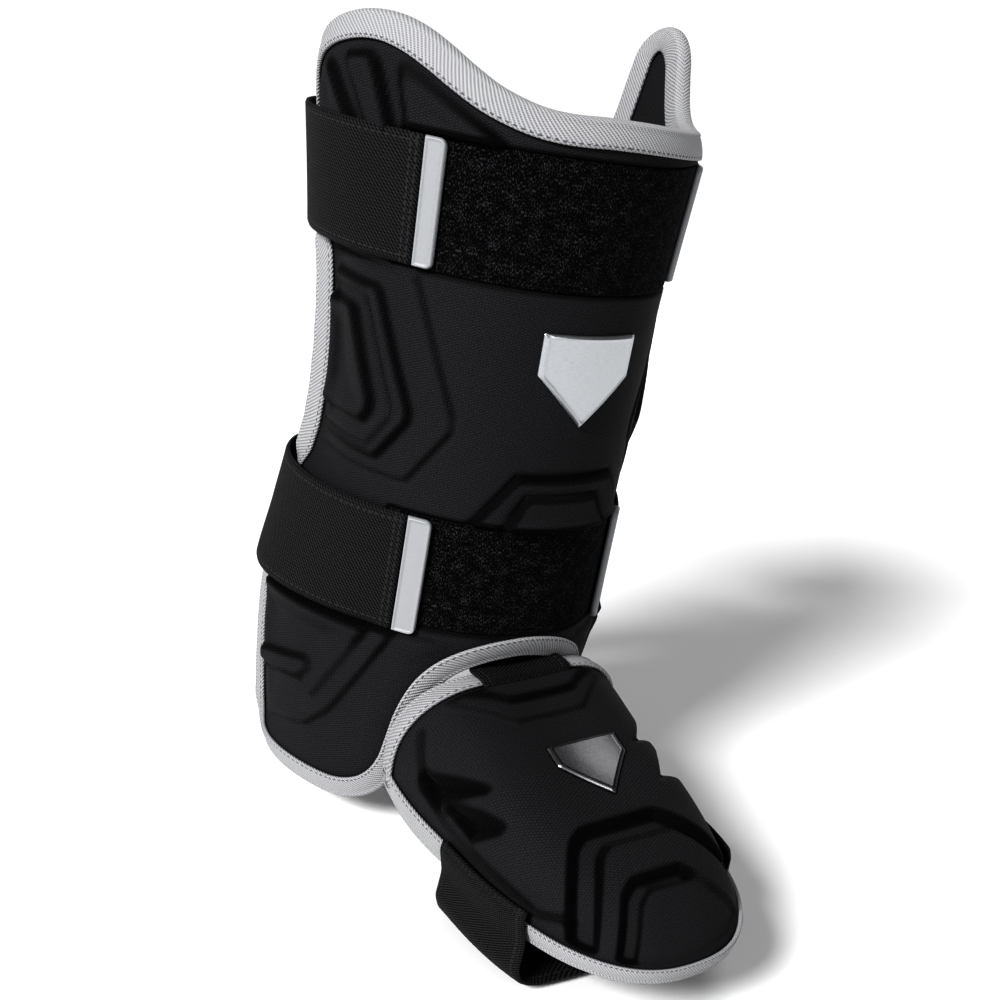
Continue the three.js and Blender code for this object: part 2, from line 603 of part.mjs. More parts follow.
for (const [name, strap] of Object.entries(STRAPS)) {
  const tabDegrees = strap.tabWidth / PATTERN_PER_DEGREE;
  const start = strap.tabTurn + tabDegrees + FIT_GAP / PATTERN_PER_DEGREE;
  const face = (thick) => (u, v) => {
    const turn = start + (360 - 2 * start) * u;
    const away = Math.min(turn, 360 - turn);
    const over = smooth((away - start) / STRAP_CLIMB);
    const rise = strap.rise + (STRAP_OVER_TAPE - strap.rise) * over + thick;
    return shinPoint(turn, strap.low + (strap.high - strap.low) * v, rise);
  };
  addPiece(`${name}_strap`, sheet(face(0), face(STRAP_THICK), STRAP_GRID), COLOURS.elastic);

  const tall = strap.high - strap.low;
  const wide = strap.tabWidth;
  for (const [hand, sign] of [['left', -1], ['right', 1]]) {
    const shape = new THREE.Shape();
    shape.moveTo(wide, 0);
    shape.lineTo(wide, tall);
    shape.lineTo(TAB_RADIUS, tall);
    shape.quadraticCurveTo(0, tall, 0, tall - TAB_RADIUS);
    shape.lineTo(0, TAB_RADIUS);
    shape.quadraticCurveTo(0, 0, TAB_RADIUS, 0);
    const solid = new THREE.ExtrudeGeometry(shape, {
      depth: TAB_THICK - 2 * TAB_BEVEL, curveSegments: 2, bevelEnabled: true,
      bevelThickness: TAB_BEVEL, bevelSize: TAB_BEVEL, bevelOffset: -TAB_BEVEL, bevelSegments: 1,
    });
    solid.translate(strap.tabTurn * PATTERN_PER_DEGREE, strap.low, strap.rise + TAB_BEVEL);
    const flat = readSolid(toSolid(solid));
    const tab = refine(flat, tall / 2);
    const points = tab.points.map((p) => shinForm(sign * p.x, p.y, p.z));
    addPiece(`${name}_${hand}_tab`, outward(points, tab.triangles), COLOURS.rubber);
  }
}

// A plain five-sided plate with its point down.
function badgeFlat(width, height, start) {
  const half = width / 2;
  const shoulder = height * BADGE_SHOULDER;
  const shape = new THREE.Shape([
    new THREE.Vector2(-half, height / 2), new THREE.Vector2(-half, height / 2 - shoulder),
    new THREE.Vector2(0, -height / 2), new THREE.Vector2(half, height / 2 - shoulder),
    new THREE.Vector2(half, height / 2),
  ]);
  const solid = new THREE.ExtrudeGeometry(shape, {
    depth: BADGE_THICK - BADGE_BEVEL, bevelEnabled: true, bevelThickness: BADGE_BEVEL,
    bevelSize: BADGE_BEVEL * 2, bevelOffset: -BADGE_BEVEL * 2, bevelSegments: 1,
  });
  return readSolid(toSolid(solid.translate(0, 0, start + BADGE_BEVEL)));
}

addPiece('shin_badge', formed(
  badgeFlat(SHIN_BADGE.width, SHIN_BADGE.height, SHIN_FOAM + FIT_GAP), BADGE_FACET,
  (across, up, rise) => shinPoint(SHIN_BADGE.turn + across / PATTERN_PER_DEGREE, SHIN_BADGE.z + up, rise),
), COLOURS.silver);

// The foot guard's pattern: its toe as stations, then the heel corners; the tape has stations all round.
const heelRight = new THREE.Vector2(PATTERN_HALF, 0);
const heelLeft = new THREE.Vector2(-PATTERN_HALF, 0);
const toe = [];
for (let i = 0; i <= RIM_STEPS.toe; i += 1) {
  const bearing = (i / RIM_STEPS.toe - 0.5) * Math.PI;
  const side = Math.sign(bearing) * Math.abs(Math.sin(bearing)) ** (2 / FOOT_PLAN_POWER);
  const ahead = Math.abs(Math.cos(bearing)) ** (2 / FOOT_PLAN_POWER);
  toe.push(new THREE.Vector2(PATTERN_HALF * side, -PATTERN_BACK - PATTERN_TOE * ahead));
}
const between = (from, to, steps) => {
  const spots = [];
  for (let i = 1; i < steps; i += 1) spots.push(from.clone().lerp(to, i / steps));
  return spots;
};
const footOutline = [...toe, heelRight, heelLeft];
const footRim = [
  ...toe, ...between(toe.at(-1), heelRight, RIM_STEPS.side), heelRight,
  ...between(heelRight, heelLeft, RIM_STEPS.heel), heelLeft, ...between(heelLeft, toe[0], RIM_STEPS.side),
];

const patternLong = PATTERN_BACK + PATTERN_TOE;
const footSlab = gridSlab(
  2 * PATTERN_HALF + FOOT_GRID.across, patternLong + FOOT_GRID.up, FOOT_FOAM, FOOT_GRID,
).translate(0, -patternLong / 2, 0);
const foot = foamPanel(footSlab, footOutline, FOOT_FOAM, FOOT_STEPS, footPattern);
addPiece('foot_shell', formedPanel(
  foot, footOutline, FOOT_FOAM, FOOT_EDGE, FOOT_GRID.limit, footPoint), COLOURS.foam);
addPiece('foot_binding', foldedTape(
  footRim, FOOT_FOAM, FOOT_EDGE, FOOT_TAPE_GAP, footPoint), COLOURS.tape);

const badgeSpot = footPattern(FOOT_BADGE.x, FOOT_BADGE.t);
addPiece('foot_badge', formed(
  badgeFlat(FOOT_BADGE.width, FOOT_BADGE.height, FOOT_FOAM + FIT_GAP), BADGE_FACET,
  (across, up, rise) => footPoint(badgeSpot.x + across, badgeSpot.y + up, rise),
), COLOURS.silver);

// The elastic that carries the foot guard: from inside the notch, under its edge, on to the heel edge.
const connectorFace = (rise) => (u, v) => {
  const x = CONNECTOR_HALF * (2 * u - 1);
  const inside = rise - SHIN_TAPE_GAP - TAPE - FIT_GAP - CONNECTOR_THICK;
  const over = FOOT_TAPE_GAP + TAPE + FIT_GAP + rise;
  const turn = Math.asin(x / readTable(SHIN_SECTIONS, 'z', 'half', NOTCH_CENTRE_Z)) / DEGREE;
  const spot = footPattern(x, heelT(x)).x;
  const notch = NOTCH_CENTRE_Z - NOTCH_FALL * turn ** 2;
  const path = new THREE.CatmullRomCurve3([
    shinPoint(turn, notch + CONNECTOR_REACH.top, inside),
    shinPoint(turn, notch + CONNECTOR_REACH.tuck, inside),
    shinPoint(turn, notch - CONNECTOR_REACH.drop, inside),
    footPoint(spot, CONNECTOR_REACH.past, FOOT_EDGE + over),
    footPoint(spot, -CONNECTOR_REACH.over, FOOT_FOAM + over),
  ]);
  return path.getPoint(v);
};
addPiece('foot_connector', sheet(
  connectorFace(0), connectorFace(CONNECTOR_THICK), CONNECTOR_GRID), COLOURS.elastic);

const strapSide = FOOT_STRAP_PATH.map(({ x, n }) => new THREE.Vector3(x, n, 0));
const strapOther = FOOT_STRAP_PATH.slice(0, -1).reverse().map(({ x, n }) => new THREE.Vector3(-x, n, 0));
const strapPath = new THREE.CatmullRomCurve3([...strapSide, ...strapOther]);
const footStrapFace = (offset) => (u, v) => {
  const t = FOOT_STRAP_START + (FOOT_STRAP_END - FOOT_STRAP_START) * v;
  const spot = strapPath.getPoint(u);
  const along = strapPath.getTangent(u);
  const x = (spot.x - along.y * offset) * rimHalf(t) / FOOT_HALF;
  return footFrame(x, t, spot.y + along.x * offset);
};
addPiece('foot_strap', sheet(
  footStrapFace(-FOOT_STRAP_THICK / 2), footStrapFace(FOOT_STRAP_THICK / 2), FOOT_STRAP_GRID,
), COLOURS.elastic);

export default group;
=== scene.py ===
import math

import bmesh
import bpy
import numpy as np
from mathutils import Matrix, Vector


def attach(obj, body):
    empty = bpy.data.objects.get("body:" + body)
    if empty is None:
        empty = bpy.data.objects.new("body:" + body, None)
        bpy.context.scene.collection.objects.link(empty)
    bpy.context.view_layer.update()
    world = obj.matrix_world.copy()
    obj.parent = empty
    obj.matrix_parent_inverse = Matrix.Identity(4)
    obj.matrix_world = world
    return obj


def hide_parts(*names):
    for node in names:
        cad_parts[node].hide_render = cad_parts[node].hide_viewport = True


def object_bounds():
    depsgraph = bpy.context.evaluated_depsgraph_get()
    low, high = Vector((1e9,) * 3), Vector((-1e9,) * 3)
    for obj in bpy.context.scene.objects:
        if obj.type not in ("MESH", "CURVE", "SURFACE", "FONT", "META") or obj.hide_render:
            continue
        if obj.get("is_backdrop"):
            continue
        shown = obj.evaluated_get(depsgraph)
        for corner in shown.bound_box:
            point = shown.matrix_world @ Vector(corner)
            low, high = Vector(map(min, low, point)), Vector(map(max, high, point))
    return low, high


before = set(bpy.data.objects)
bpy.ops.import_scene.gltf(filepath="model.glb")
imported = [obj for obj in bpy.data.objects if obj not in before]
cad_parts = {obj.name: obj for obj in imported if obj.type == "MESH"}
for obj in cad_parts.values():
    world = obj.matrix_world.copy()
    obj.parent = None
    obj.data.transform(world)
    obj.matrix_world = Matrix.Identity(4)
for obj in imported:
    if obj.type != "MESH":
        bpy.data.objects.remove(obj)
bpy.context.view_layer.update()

# The looks of a batter's leg guard. Forms are worked out in millimetres in the leg's own frame:
# heights z are from the sole level, a turn of 0 faces the front (-Y) and goes round to +X,
# and a rise is measured outward from a panel's inner face. The seat is the part's origin.
MM = 0.001
DEGREE = math.pi / 180
SEAT = np.array([0.0, -67.6, 165.0])
FAR, TINY = 1e9, 1e-9
CURVE_PARTS = 12
# Pieces that lie on one another keep this gap.
FIT_GAP = 0.4

# Foam: its thickness, and the thickness at the edge to which a wedge thins it.
SHIN_FOAM, SHIN_EDGE = 8.0, 4.5
FOOT_FOAM, FOOT_EDGE = 7.0, 4.0
WEDGE_RUN, WEDGE_BEND = 10.0, 4.0
# The foam ends inside the outline, under the tape, and its relief fades in where the tape ends.
FOAM_INSET, RELIEF_START, SHIN_RELIEF_RUN, FOOT_RELIEF_RUN = 1.5, 8.8, 9.0, 4.0
SHIN_GRID, FOOT_GRID = 1.25, 0.95

# Tape folded over the edges: its thickness, its reach over the panel and its gap to the foam.
TAPE, TAPE_REACH = 1.2, 8.5
SHIN_TAPE_GAP, FOOT_TAPE_GAP = 0.7, 1.2
# It is pressed along the seam and swells between seam and fold, and its nose stands out from the edge.
TAPE_PRESS, TAPE_SWELL, TAPE_SWELL_POWER, TAPE_NOSE = 0.85, 0.55, 0.6, 0.6
TAPE_STEP, TAPE_LEG_POINTS, TAPE_NOSE_POINTS = 2.0, 9, 11
# Turns take up some of the tape's length, and the swell moves the fold on by a little.
TAPE_EASE, TAPE_FOLD_SHIFT = 1.05, 1.0

# The shin panel's flat pattern has this many millimetres to a degree of turn.
PER_DEGREE = 1.25
# Sections of the shin panel: height, half width, depth at the front, flare of the wings, depth behind.
SHIN_SECTIONS = np.array([
    (-8, 66, 73.5, 7.5, 60), (45, 66.5, 74, 12.5, 58), (85, 67.5, 74.5, 12.8, 57),
    (115, 67.8, 75, 7.5, 57), (150, 68.5, 75.5, 2.2, 60), (200, 70.8, 76, 1, 66),
    (237, 72.3, 76.5, 3, 69), (288, 76, 79.5, 7, 70), (345, 80, 82, 13, 70),
], dtype=float)
FLARE_START, FLARE_FULL, WING_END = 55.0, 115.0, 116.0

# The shin panel's outline as (turn, height), from the middle of the top edge down to the notch.
LEFT_TOP = [
    (7, 303), (14, 302.6), (21, 302.6), (28, 303.6), (35, 305.8), (42, 309), (50, 314.2), (58, 319.8),
    (66, 324.4), (74, 326.8), (82, 326.6), (90, 324.3), (98, 320.4), (105, 314.8), (110, 307), (112.5, 297),
]
RIGHT_TOP = [
    (7, 302.8), (14, 302.4), (22, 301.8), (30, 301.2), (38, 300.7), (46, 300.3), (54, 300.2), (62, 300.4),
    (69, 301.6), (75, 304.6), (80, 310.2), (85, 319.5), (89.5, 329), (95, 335.4), (101, 337.6),
    (106.5, 335), (110.2, 328), (111, 317), (111.6, 300),
]
SIDE = [
    (113, 282), (112, 262), (109.5, 240), (106, 226), (104, 212), (103, 198), (102.8, 184),
    (104.5, 163), (107.5, 150), (110.8, 137), (112.4, 122), (113.2, 107), (113.8, 93), (113.8, 79),
    (113.5, 63), (112.8, 47), (111.6, 31), (109.5, 16.5), (105, 7), (98.5, 2.4), (90, 0.7), (81, 0.2),
    (72, 0.1), (63, 0.8), (55.5, 3.6), (49, 8.6), (44, 16), (40.8, 25), (39.1, 36), (37.5, 47),
    (35.2, 56), (32, 63.8), (27, 70.8), (20.5, 76), (13, 79.6), (6, 81.4),
]
TOP_CENTRE_Z, NOTCH_CENTRE_Z, NOTCH_FALL = 303, 82, 0.0142
# The wing's own edge, read upward from the lobe's outer corner.
LOBE_CORNER = 18
SIDE_TURN, SIDE_Z = np.array(SIDE[LOBE_CORNER::-1], dtype=float).T

# Between the straps and on the lobes the wings draw in a little and their edges turn out.
LIP_OUT, LIP_RUN, LIP_LIMIT, LIP_DRAW, LIP_DRAW_RUN = 9.0, 20.0, 1.2, 6.5, 55.0
WAIST_LOW, WAIST_HIGH, LIP_FADE = 131.0, 246.0, 14.0
LOBE_LOW, LOBE_HIGH, LOBE_SHARE = 8.0, 95.0, 0.6

# Nested chevrons on each wing: they open to the back, and their elbows point to the front.
CHEVRON_BACK, ELBOW_LOW, ELBOW_HIGH = -97, 176, 182
CHEVRON_LEAN_UP, CHEVRON_LEAN_DOWN = 0.34, 0.54


def chevron(reach, top, bottom):
    """A chevron's corners, with both arms leaning back from an elbow that reaches to the front."""
    upper = reach - CHEVRON_LEAN_UP * (top - ELBOW_HIGH)
    lower = reach - CHEVRON_LEAN_DOWN * (ELBOW_LOW - bottom)
    return [(CHEVRON_BACK, top), (upper, top), (reach, ELBOW_HIGH),
            (reach, ELBOW_LOW), (lower, bottom), (CHEVRON_BACK, bottom)]


OUTER_CHEVRON, INNER_CHEVRON = chevron(-39, 235, 151), chevron(-60, 222, 163)
CHEST_PAD = [(-31, 137), (-16, 163), (25, 163), (44, 137)]
CHEST_STEP = [(-20, 137), (-12, 155), (17, 155), (27, 137)]

# Moulded pads of the shin panel: side, rise, width of the slope, corners (turn, height).
SHIN_PADS = [
    ("both", 0.6, 2.0, OUTER_CHEVRON),
    ("both", 3.0, 4.4, chevron(-52, 229, 156)),
    ("both", 0.5, 1.8, INNER_CHEVRON),
    ("both", 3.8, 4.8, chevron(-65, 219, 169)),
    ("left", 3.4, 3.4, [(-101, 283), (-101, 307), (-95, 312), (-81, 283)]),
    ("left", 3.4, 3.4, [(-78, 283), (-90, 313), (-76, 316), (-67, 283)]),
    ("left", 3.4, 4.0, [(-65, 283), (-72, 316), (-65, 315), (-36, 293), (-34, 283)]),
    ("right", 6.0, 4.0, [(-102, 283), (-102, 315), (-97, 325), (-89, 322), (-71, 283)]),
    ("middle", 2.2, 3.0, CHEST_PAD),
    ("middle", 2.4, 3.5, CHEST_STEP),
    ("both", 2.0, 4.0, [(-112, 0), (-20, 0), (-20, 80), (-30, 88), (-112, 88)]),
    ("both", 2.0, 2.8, [(-106, 16), (-76, 27), (-67, 39), (-46, 88), (-106, 88)]),
    ("both", 2.2, 3.4, [(-106, 44), (-79, 47), (-74, 40), (-54, 88), (-106, 88)]),
    ("both", 2.0, 2.4, [(-106, 39), (-79, 49), (-74, 57), (-77, 62), (-106, 52)]),
]
# Pressed lines: side, depth, width, points (turn, height).
SHIN_CREASES = [
    ("left", 1.0, 0.9, [(-90, 313), (-82, 290)]),
    ("left", 1.0, 0.9, [(-70, 316), (-66, 290)]),
    ("both", 1.2, 1.0, OUTER_CHEVRON),
    ("both", 1.2, 1.0, INNER_CHEVRON),
    ("middle", 1.2, 1.0, CHEST_PAD),
    ("middle", 1.0, 1.0, CHEST_STEP),
]
# Behind its front slope a pad of the shin panel settles again by this share of its rise, over this run.
SETTLE, SETTLE_RUN = 0.62, 13.0
# Painted shade: the knit's colour is darkened where the moulding is steeper than this slope, over this
# range, standing in for shade on the risers.
# The slope is averaged over about the blur's width first.
SHADE_SLOPE_START, SHADE_SLOPE_RANGE, SHADE_SLOPE_BLUR = 0.22, 0.55, 1.8
# The foam is nowhere quite even: a faint drape, the product of two waves (per millimetre across and up).
DRAPE, DRAPE_WAVES = 0.12, ((0.11, 0.043), (-0.02, 0.071))

# Loop bands, let into the foam: low edge, high edge, turn at the ends.
BANDS = {"upper": (238, 289, 66), "lower": (91.5, 139, 57)}
BAND_THICK, BAND_SINK, BAND_GRID, PILE_RISE = 1.5, 2.4, 0.9, 0.3
SINK_RUN, SINK_START = 1.2, 0.9
# Straps: low edge, high edge, rise over the band, turn and width of the tab.
STRAPS = {"upper": (238.5, 288.5, 8.1, 52, 8.2), "lower": (87.5, 138.5, 8.6, 41, 10.2)}
STRAP_THICK, STRAP_OVER_TAPE, STRAP_CLIMB, STRAP_EASE = 2.2, 10.1, 24, 1.02
STRAP_GRID = (200, 36)
# Webbing is rounded off along its edges over this share of its thickness.
WEBBING_ROUND = 0.6

# Tabs: a wall, a rounded shoulder over it, and a raised line inside the edge.
TAB_THICK, TAB_CORNER, TAB_LIFT = 2.4, 3.0, 0.1
TAB_WALL, TAB_SHOULDER, TAB_SHOULDER_RUN = 0.55, 0.3, 0.8
LINE_RISE, LINE_RISE_RUN, LINE_FALL, LINE_FALL_RUN, LINE_WIDTH = 0.7, 0.4, 0.6, 0.5, 1.1
TAB_GRID = (26, 100)

# Plates: turn and height, or x and t, of the middle, then width and height.
SHIN_BADGE = (3, 203, 46, 38)
FOOT_BADGE = (5, 61, 30, 25)
BADGE_THICK, BADGE_SHOULDER, BADGE_MIDDLE, BADGE_SIDE_POINTS = 1.6, 0.45, 0.08, 16
# The face lies a little lower than the line round it; then come the bevel, the wall and the underside.
BADGE_DISH, BADGE_FACE, BADGE_FACE_RINGS = 0.15, 0.9, 14
BADGE_LINE, BADGE_UNDER = BADGE_THICK + 0.1, -0.3
BADGE_RIM = [
    (0.915, BADGE_LINE), (0.93, BADGE_LINE), (0.985, 0.75), (1.0, 0.55),
    (1.0, BADGE_UNDER), (0.0, BADGE_UNDER),
]

# The foot guard's own frame: x across, t forward from the ankle, n up from the rim.
FOOT_TURNS = (-1.1, -1.7, -5.9)
FOOT_ORIGIN = np.array([6.3, -65.2, 11.8])
FOOT_HALF, FOOT_TOE_START, FOOT_TOE_LENGTH = 50.0, 58.0, 86.0
FOOT_PLAN_POWER, FOOT_ARCH_POWER = 2.33, 2.2
SHOULDER_OUT, SHOULDER_START, SHOULDER_RUN = 7.0, 60.0, 92.0
HEEL_T, HEEL_SWEEP, HEEL_POWER = 10.0, 16.2, 2.5
HEEL_SPREAD, HEEL_SPREAD_RUN = 5.0, 54.0
RIM_LIFT, RIM_LIFT_RUN = 10.0, 40.0
# Its flat pattern: half width, length behind the toe and length of the toe; the heel edge bows out.
PATTERN_HALF, PATTERN_BACK, PATTERN_TOE = 75.0, 60.0, 100.0
HEEL_BOW = 4.0
TOE_PARTS, BACK_PARTS, HEEL_PARTS = 24, 8, 16
# Height of its crest along t.
FOOT_CREST = np.array([
    (-20, 68), (0, 63.5), (20, 58.3), (36, 53), (60, 43.5), (85, 36), (105, 34), (144, 30),
], dtype=float)

# Corners of the foot guard's pads, dents and steps, as offsets (x, t) from the places that each one names.
HEEL_PAD_SPREAD, HEEL_PAD_START, HEEL_PAD_CUT = 14, 10, (4, 5)
GROOVE_X, DENT_TIP, DENT_HEEL_CORNER, DENT_TOE_CORNER = 47.5, 5, (3.5, 2), (3, 8)
TOE_LEFT_ARM, TOE_LEFT_CUT, TOE_RIGHT_CUT, TOE_RIGHT_ARM = (24, 41), (6.5, 4), (6, 5), (38, 30)
TOE_SPAN, TOE_PAST = 40, 155


def heel_pad(half, reach):
    """A pad on the instep, wider towards the ankle, with its front corners cut off."""
    cut_x, cut_t = HEEL_PAD_CUT
    right = [(half - cut_x, reach), (half, reach - cut_t), (half + HEEL_PAD_SPREAD, HEEL_PAD_START)]
    return [(-x, t) for x, t in right[::-1]] + right


def dent(start, end, tip_x, tip_t):
    """A wedge-shaped dent that opens on the groove along the rim and comes to a tip on the top."""
    (heel_in, heel_on), (toe_in, toe_on) = DENT_HEEL_CORNER, DENT_TOE_CORNER
    return [(-GROOVE_X, start), (heel_in - GROOVE_X, start + heel_on), (tip_x, tip_t),
            (tip_x - DENT_TIP, tip_t), (toe_in - GROOVE_X, end + toe_on), (-GROOVE_X, end)]


def toe_step(front, left, right):
    """A step across the toe with its corners cut off, whose two arms run out over the rim."""
    left_side = [(left - TOE_LEFT_ARM[0], front + TOE_LEFT_ARM[1]), (left, front + TOE_LEFT_CUT[1]),
                 (left + TOE_LEFT_CUT[0], front)]
    right_side = [(right, front)] + [(right + x, front + t) for x, t in (TOE_RIGHT_CUT, TOE_RIGHT_ARM)]
    return left_side + right_side + [(TOE_SPAN, TOE_PAST), (-TOE_SPAN, TOE_PAST)]


# Steps of the foot guard's top: side, rise, width of the slope, corners (x, t).
FOOT_STEPS = [
    ("middle", 2.0, 4.0, heel_pad(20, 36.5)),
    ("middle", 3.2, 5.0, heel_pad(19, 28)),
    ("left", -6.5, 8.0, dent(18, 34, -32, 56)),
    ("left", -6.5, 8.0, dent(37, 58, -35, 73)),
    ("right", -6.5, 8.0, dent(18, 34, -24, 55)),
    ("right", -6.5, 8.0, dent(37, 58, -24, 76)),
    ("middle", -4.2, 3.8, toe_step(87, -24.5, 15.5)),
    ("middle", 3.8, 4.0, toe_step(96, -19, 18)),
    ("middle", -3.6, 3.6, toe_step(113.5, -18.5, 10.5)),
    ("middle", 2.2, 3.0, toe_step(118.5, -13.5, 15)),
]
# The groove along the rim: side, depth, width, points (x, t).
FOOT_CREASES = [
    ("both", 1.8, 1.8, [(-40, 12), (-45, 22), (-GROOVE_X, 38), (-GROOVE_X, 60), (-43, 101), (-36.5, 113)]),
]

# The connector's way: up inside the notch, down past its edge and over the heel edge of the foot guard.
CONNECTOR_HALF, CONNECTOR_THICK, CONNECTOR_LENGTH = 18.0, 1.6, 53
CONNECTOR_REACH = {"top": 18, "tuck": 6, "drop": 5.8, "past": 6.4, "over": 4.5, "end": 10}
CONNECTOR_GRID = (70, 40)
SEAM_DEPTH, SEAM_PITCH, SEAM_WIDTH = 0.35, 7.0, 0.5
# The foot strap's path under the shoe as (x, n), from its left end to the middle.
FOOT_STRAP_PATH = [
    (-52.9, 14), (-53.9, 10), (-53.4, 5), (-52.9, -0.5), (-54, -6.5), (-54.8, -12), (-52.5, -17.5),
    (-46, -20.6), (-34, -22), (-17, -22.8), (0, -23),
]
FOOT_STRAP_THICK, FOOT_STRAP_START, FOOT_STRAP_END = 2.0, 45.0, 101.0
FOOT_STRAP_LENGTH, FOOT_STRAP_GRID = 182, (200, 40)

# The camera of the photograph.
VIEW_TURN, VIEW_RISE, VIEW_ROLL = -35.0, 18.56, 10.06
VIEW_DISTANCE, VIEW_AIM = 700.0, np.array([25.6, 0.0, 122.8])
LENS, SENSOR = 54.56, 36.0

# The stage, in metres: a sun from the left, two soft lamps, and a pale room that is dimmer overhead.
LIGHT_AIM = (0.01, 0.03, -0.02)
SUN_FROM, SUN_POWER, SUN_SPREAD = (-1.5, -0.5, 1.0), 3.1, 16
LAMPS = {"front": ((0.1, -1.7, 1.0), 4), "top": ((0.5, 0.5, 2.0), 6)}
LAMP_SIZE = 0.9
ROOM_LIGHT = {"From Min": 0.08, "From Max": 0.3, "To Min": 0.72, "To Max": 0.1}
FLOOR_SIZE, FLOOR_DROP = 30, 0.0005


def smooth(value):
    t = np.clip(value, 0, 1)
    return t * t * (3 - 2 * t)


def unit(v):
    return v / np.maximum(np.linalg.norm(v, axis=-1, keepdims=True), TINY)


def as_arrays(*values):
    """Numbers and arrays as arrays of one shape."""
    return np.broadcast_arrays(*(np.asarray(value, float) for value in values))


def read_table(keys, values, at):
    """A smooth curve through the rows of a table."""
    last = len(keys) - 1
    before, after = np.maximum(np.arange(last + 1) - 1, 0), np.minimum(np.arange(last + 1) + 1, last)
    slope = (values[after] - values[before]) / (keys[after] - keys[before])
    at = np.clip(at, keys[0], keys[-1])
    i = np.clip(np.searchsorted(keys, at) - 1, 0, last - 1)
    span = keys[i + 1] - keys[i]
    t = (at - keys[i]) / span
    return ((2 * t**3 - 3 * t**2 + 1) * values[i] + (t**3 - 2 * t**2 + t) * span * slope[i]
            + (3 * t**2 - 2 * t**3) * values[i + 1] + (t**3 - t**2) * span * slope[i + 1])


def curve_between(p0, p1, p2, p3, t):
    """A smooth curve from p1 to p2 that heads the way of the points before and after them."""
    return 0.5 * (2 * p1 + (p2 - p0) * t + (2 * p0 - 5 * p1 + 4 * p2 - p3) * t**2
                  + (3 * p1 - p0 - 3 * p2 + p3) * t**3)


def closed_curve(corners, step):
    """A smooth closed curve through the corners, as evenly spaced points, and its length."""
    between = np.linspace(0, 1, CURVE_PARTS, endpoint=False)[:, None, None]
    before, after, next2 = (np.roll(corners, shift, 0) for shift in (1, -1, -2))
    fine = curve_between(before, corners, after, next2, between).transpose(1, 0, 2).reshape(-1, 2)
    loop = np.vstack([fine, fine[:1]])
    length = np.concatenate([[0], np.cumsum(np.linalg.norm(np.diff(loop, axis=0), axis=1))])
    at = np.linspace(0, length[-1], int(length[-1] / step), endpoint=False)
    return np.stack([np.interp(at, length, loop[:, k]) for k in (0, 1)], -1), length[-1]


def spline(stops, share):
    """A smooth curve through the stops, which may be arrays of points, at shares from 0 to 1."""
    stops = np.array(stops, float)
    stops = np.concatenate([[2 * stops[0] - stops[1]], stops, [2 * stops[-1] - stops[-2]]])
    at = np.clip(share, 0, 1) * (len(stops) - 3)
    i = np.minimum(at.astype(int), len(stops) - 4)
    near = (stops[i + k] if stops.ndim == 2 else
            np.take_along_axis(stops, (i + k)[None, ..., None], 0)[0] for k in range(4))
    return curve_between(*near, (at - i)[..., None])


def shin_point(turn, z, rise):
    """Points of the shin panel, or of a strap that goes on round the back of the leg."""
    turn, z, rise = as_arrays(turn, z, rise)
    bearing = np.where(turn > 180, turn - 360, turn)
    away, lift = np.abs(bearing), rise - SHIN_FOAM
    heights, *columns = SHIN_SECTIONS.T
    half, front, flare, back = (read_table(heights, column, z) for column in columns)
    wing = smooth((away - FLARE_START) / (FLARE_FULL - FLARE_START))
    behind = smooth((away - WING_END) / (180 - WING_END))
    depth = front + (back - front) * behind + lift
    x = (half + lift) * np.sin(bearing * DEGREE) + np.sign(bearing) * flare * wing * (1 - behind)
    return np.stack([x, -depth * np.cos(bearing * DEGREE), z], -1)


def shin_form(across, up, rise):
    """The shin panel from its flat pattern, with the free edges of its wings turned out."""
    turn = across / PER_DEGREE
    from_edge = (np.interp(up, SIDE_Z, SIDE_TURN) - np.abs(turn)) * PER_DEGREE
    waist = smooth((up - WAIST_LOW) / LIP_FADE) * smooth((WAIST_HIGH - up) / LIP_FADE)
    lobe = smooth((LOBE_HIGH - up) / LIP_FADE) * smooth((up - LOBE_LOW) / LIP_FADE)
    turned_out = LIP_OUT * np.clip(1 - from_edge / LIP_RUN, 0, LIP_LIMIT) ** 2
    drawn_in = LIP_DRAW * smooth(1 - from_edge / LIP_DRAW_RUN)
    return shin_point(turn, up, rise + (turned_out - drawn_in) * (waist + LOBE_SHARE * lobe))


def shin_place(turn, z):
    """Where a turn and height lie on the shin panel's flat pattern."""
    return np.stack([np.asarray(turn) * PER_DEGREE, np.asarray(z)], -1)


foot_turn = np.array(
    Matrix.Rotation(FOOT_TURNS[0] * DEGREE, 3, "Z")
    @ Matrix.Rotation(FOOT_TURNS[1] * DEGREE, 3, "X")
    @ Matrix.Rotation(FOOT_TURNS[2] * DEGREE, 3, "Y"))


def foot_frame(x, t, n):
    return np.stack([x, -t, n], -1) @ foot_turn.T + FOOT_ORIGIN


def heel_t(x):
    return HEEL_T - HEEL_SWEEP * (np.abs(x) / FOOT_HALF) ** HEEL_POWER


def norm_out(side, ahead):
    return (np.abs(side) ** FOOT_PLAN_POWER + np.abs(ahead) ** FOOT_PLAN_POWER) ** (1 / FOOT_PLAN_POWER)


def foot_plan(across, up):
    """Where a spot of the foot guard's flat pattern lies in plan, and how far out to the rim it is."""
    side = across / PATTERN_HALF
    x_back = FOOT_HALF * np.sin(np.clip(side, -1, 1) * math.pi / 2)
    t_back = FOOT_TOE_START + (heel_t(x_back) - FOOT_TOE_START) * (1 + up / PATTERN_BACK)
    ahead = np.maximum(-(up + PATTERN_BACK) / PATTERN_TOE, 0)
    out = np.maximum(norm_out(side, ahead), TINY)
    draw = np.sin(np.minimum(out, 1) * math.pi / 2) / out
    toe = up < -PATTERN_BACK
    x = np.where(toe, FOOT_HALF * side * draw, x_back)
    t = np.where(toe, FOOT_TOE_START + FOOT_TOE_LENGTH * ahead * draw, t_back)
    return x, t, np.where(toe, out, np.abs(side))


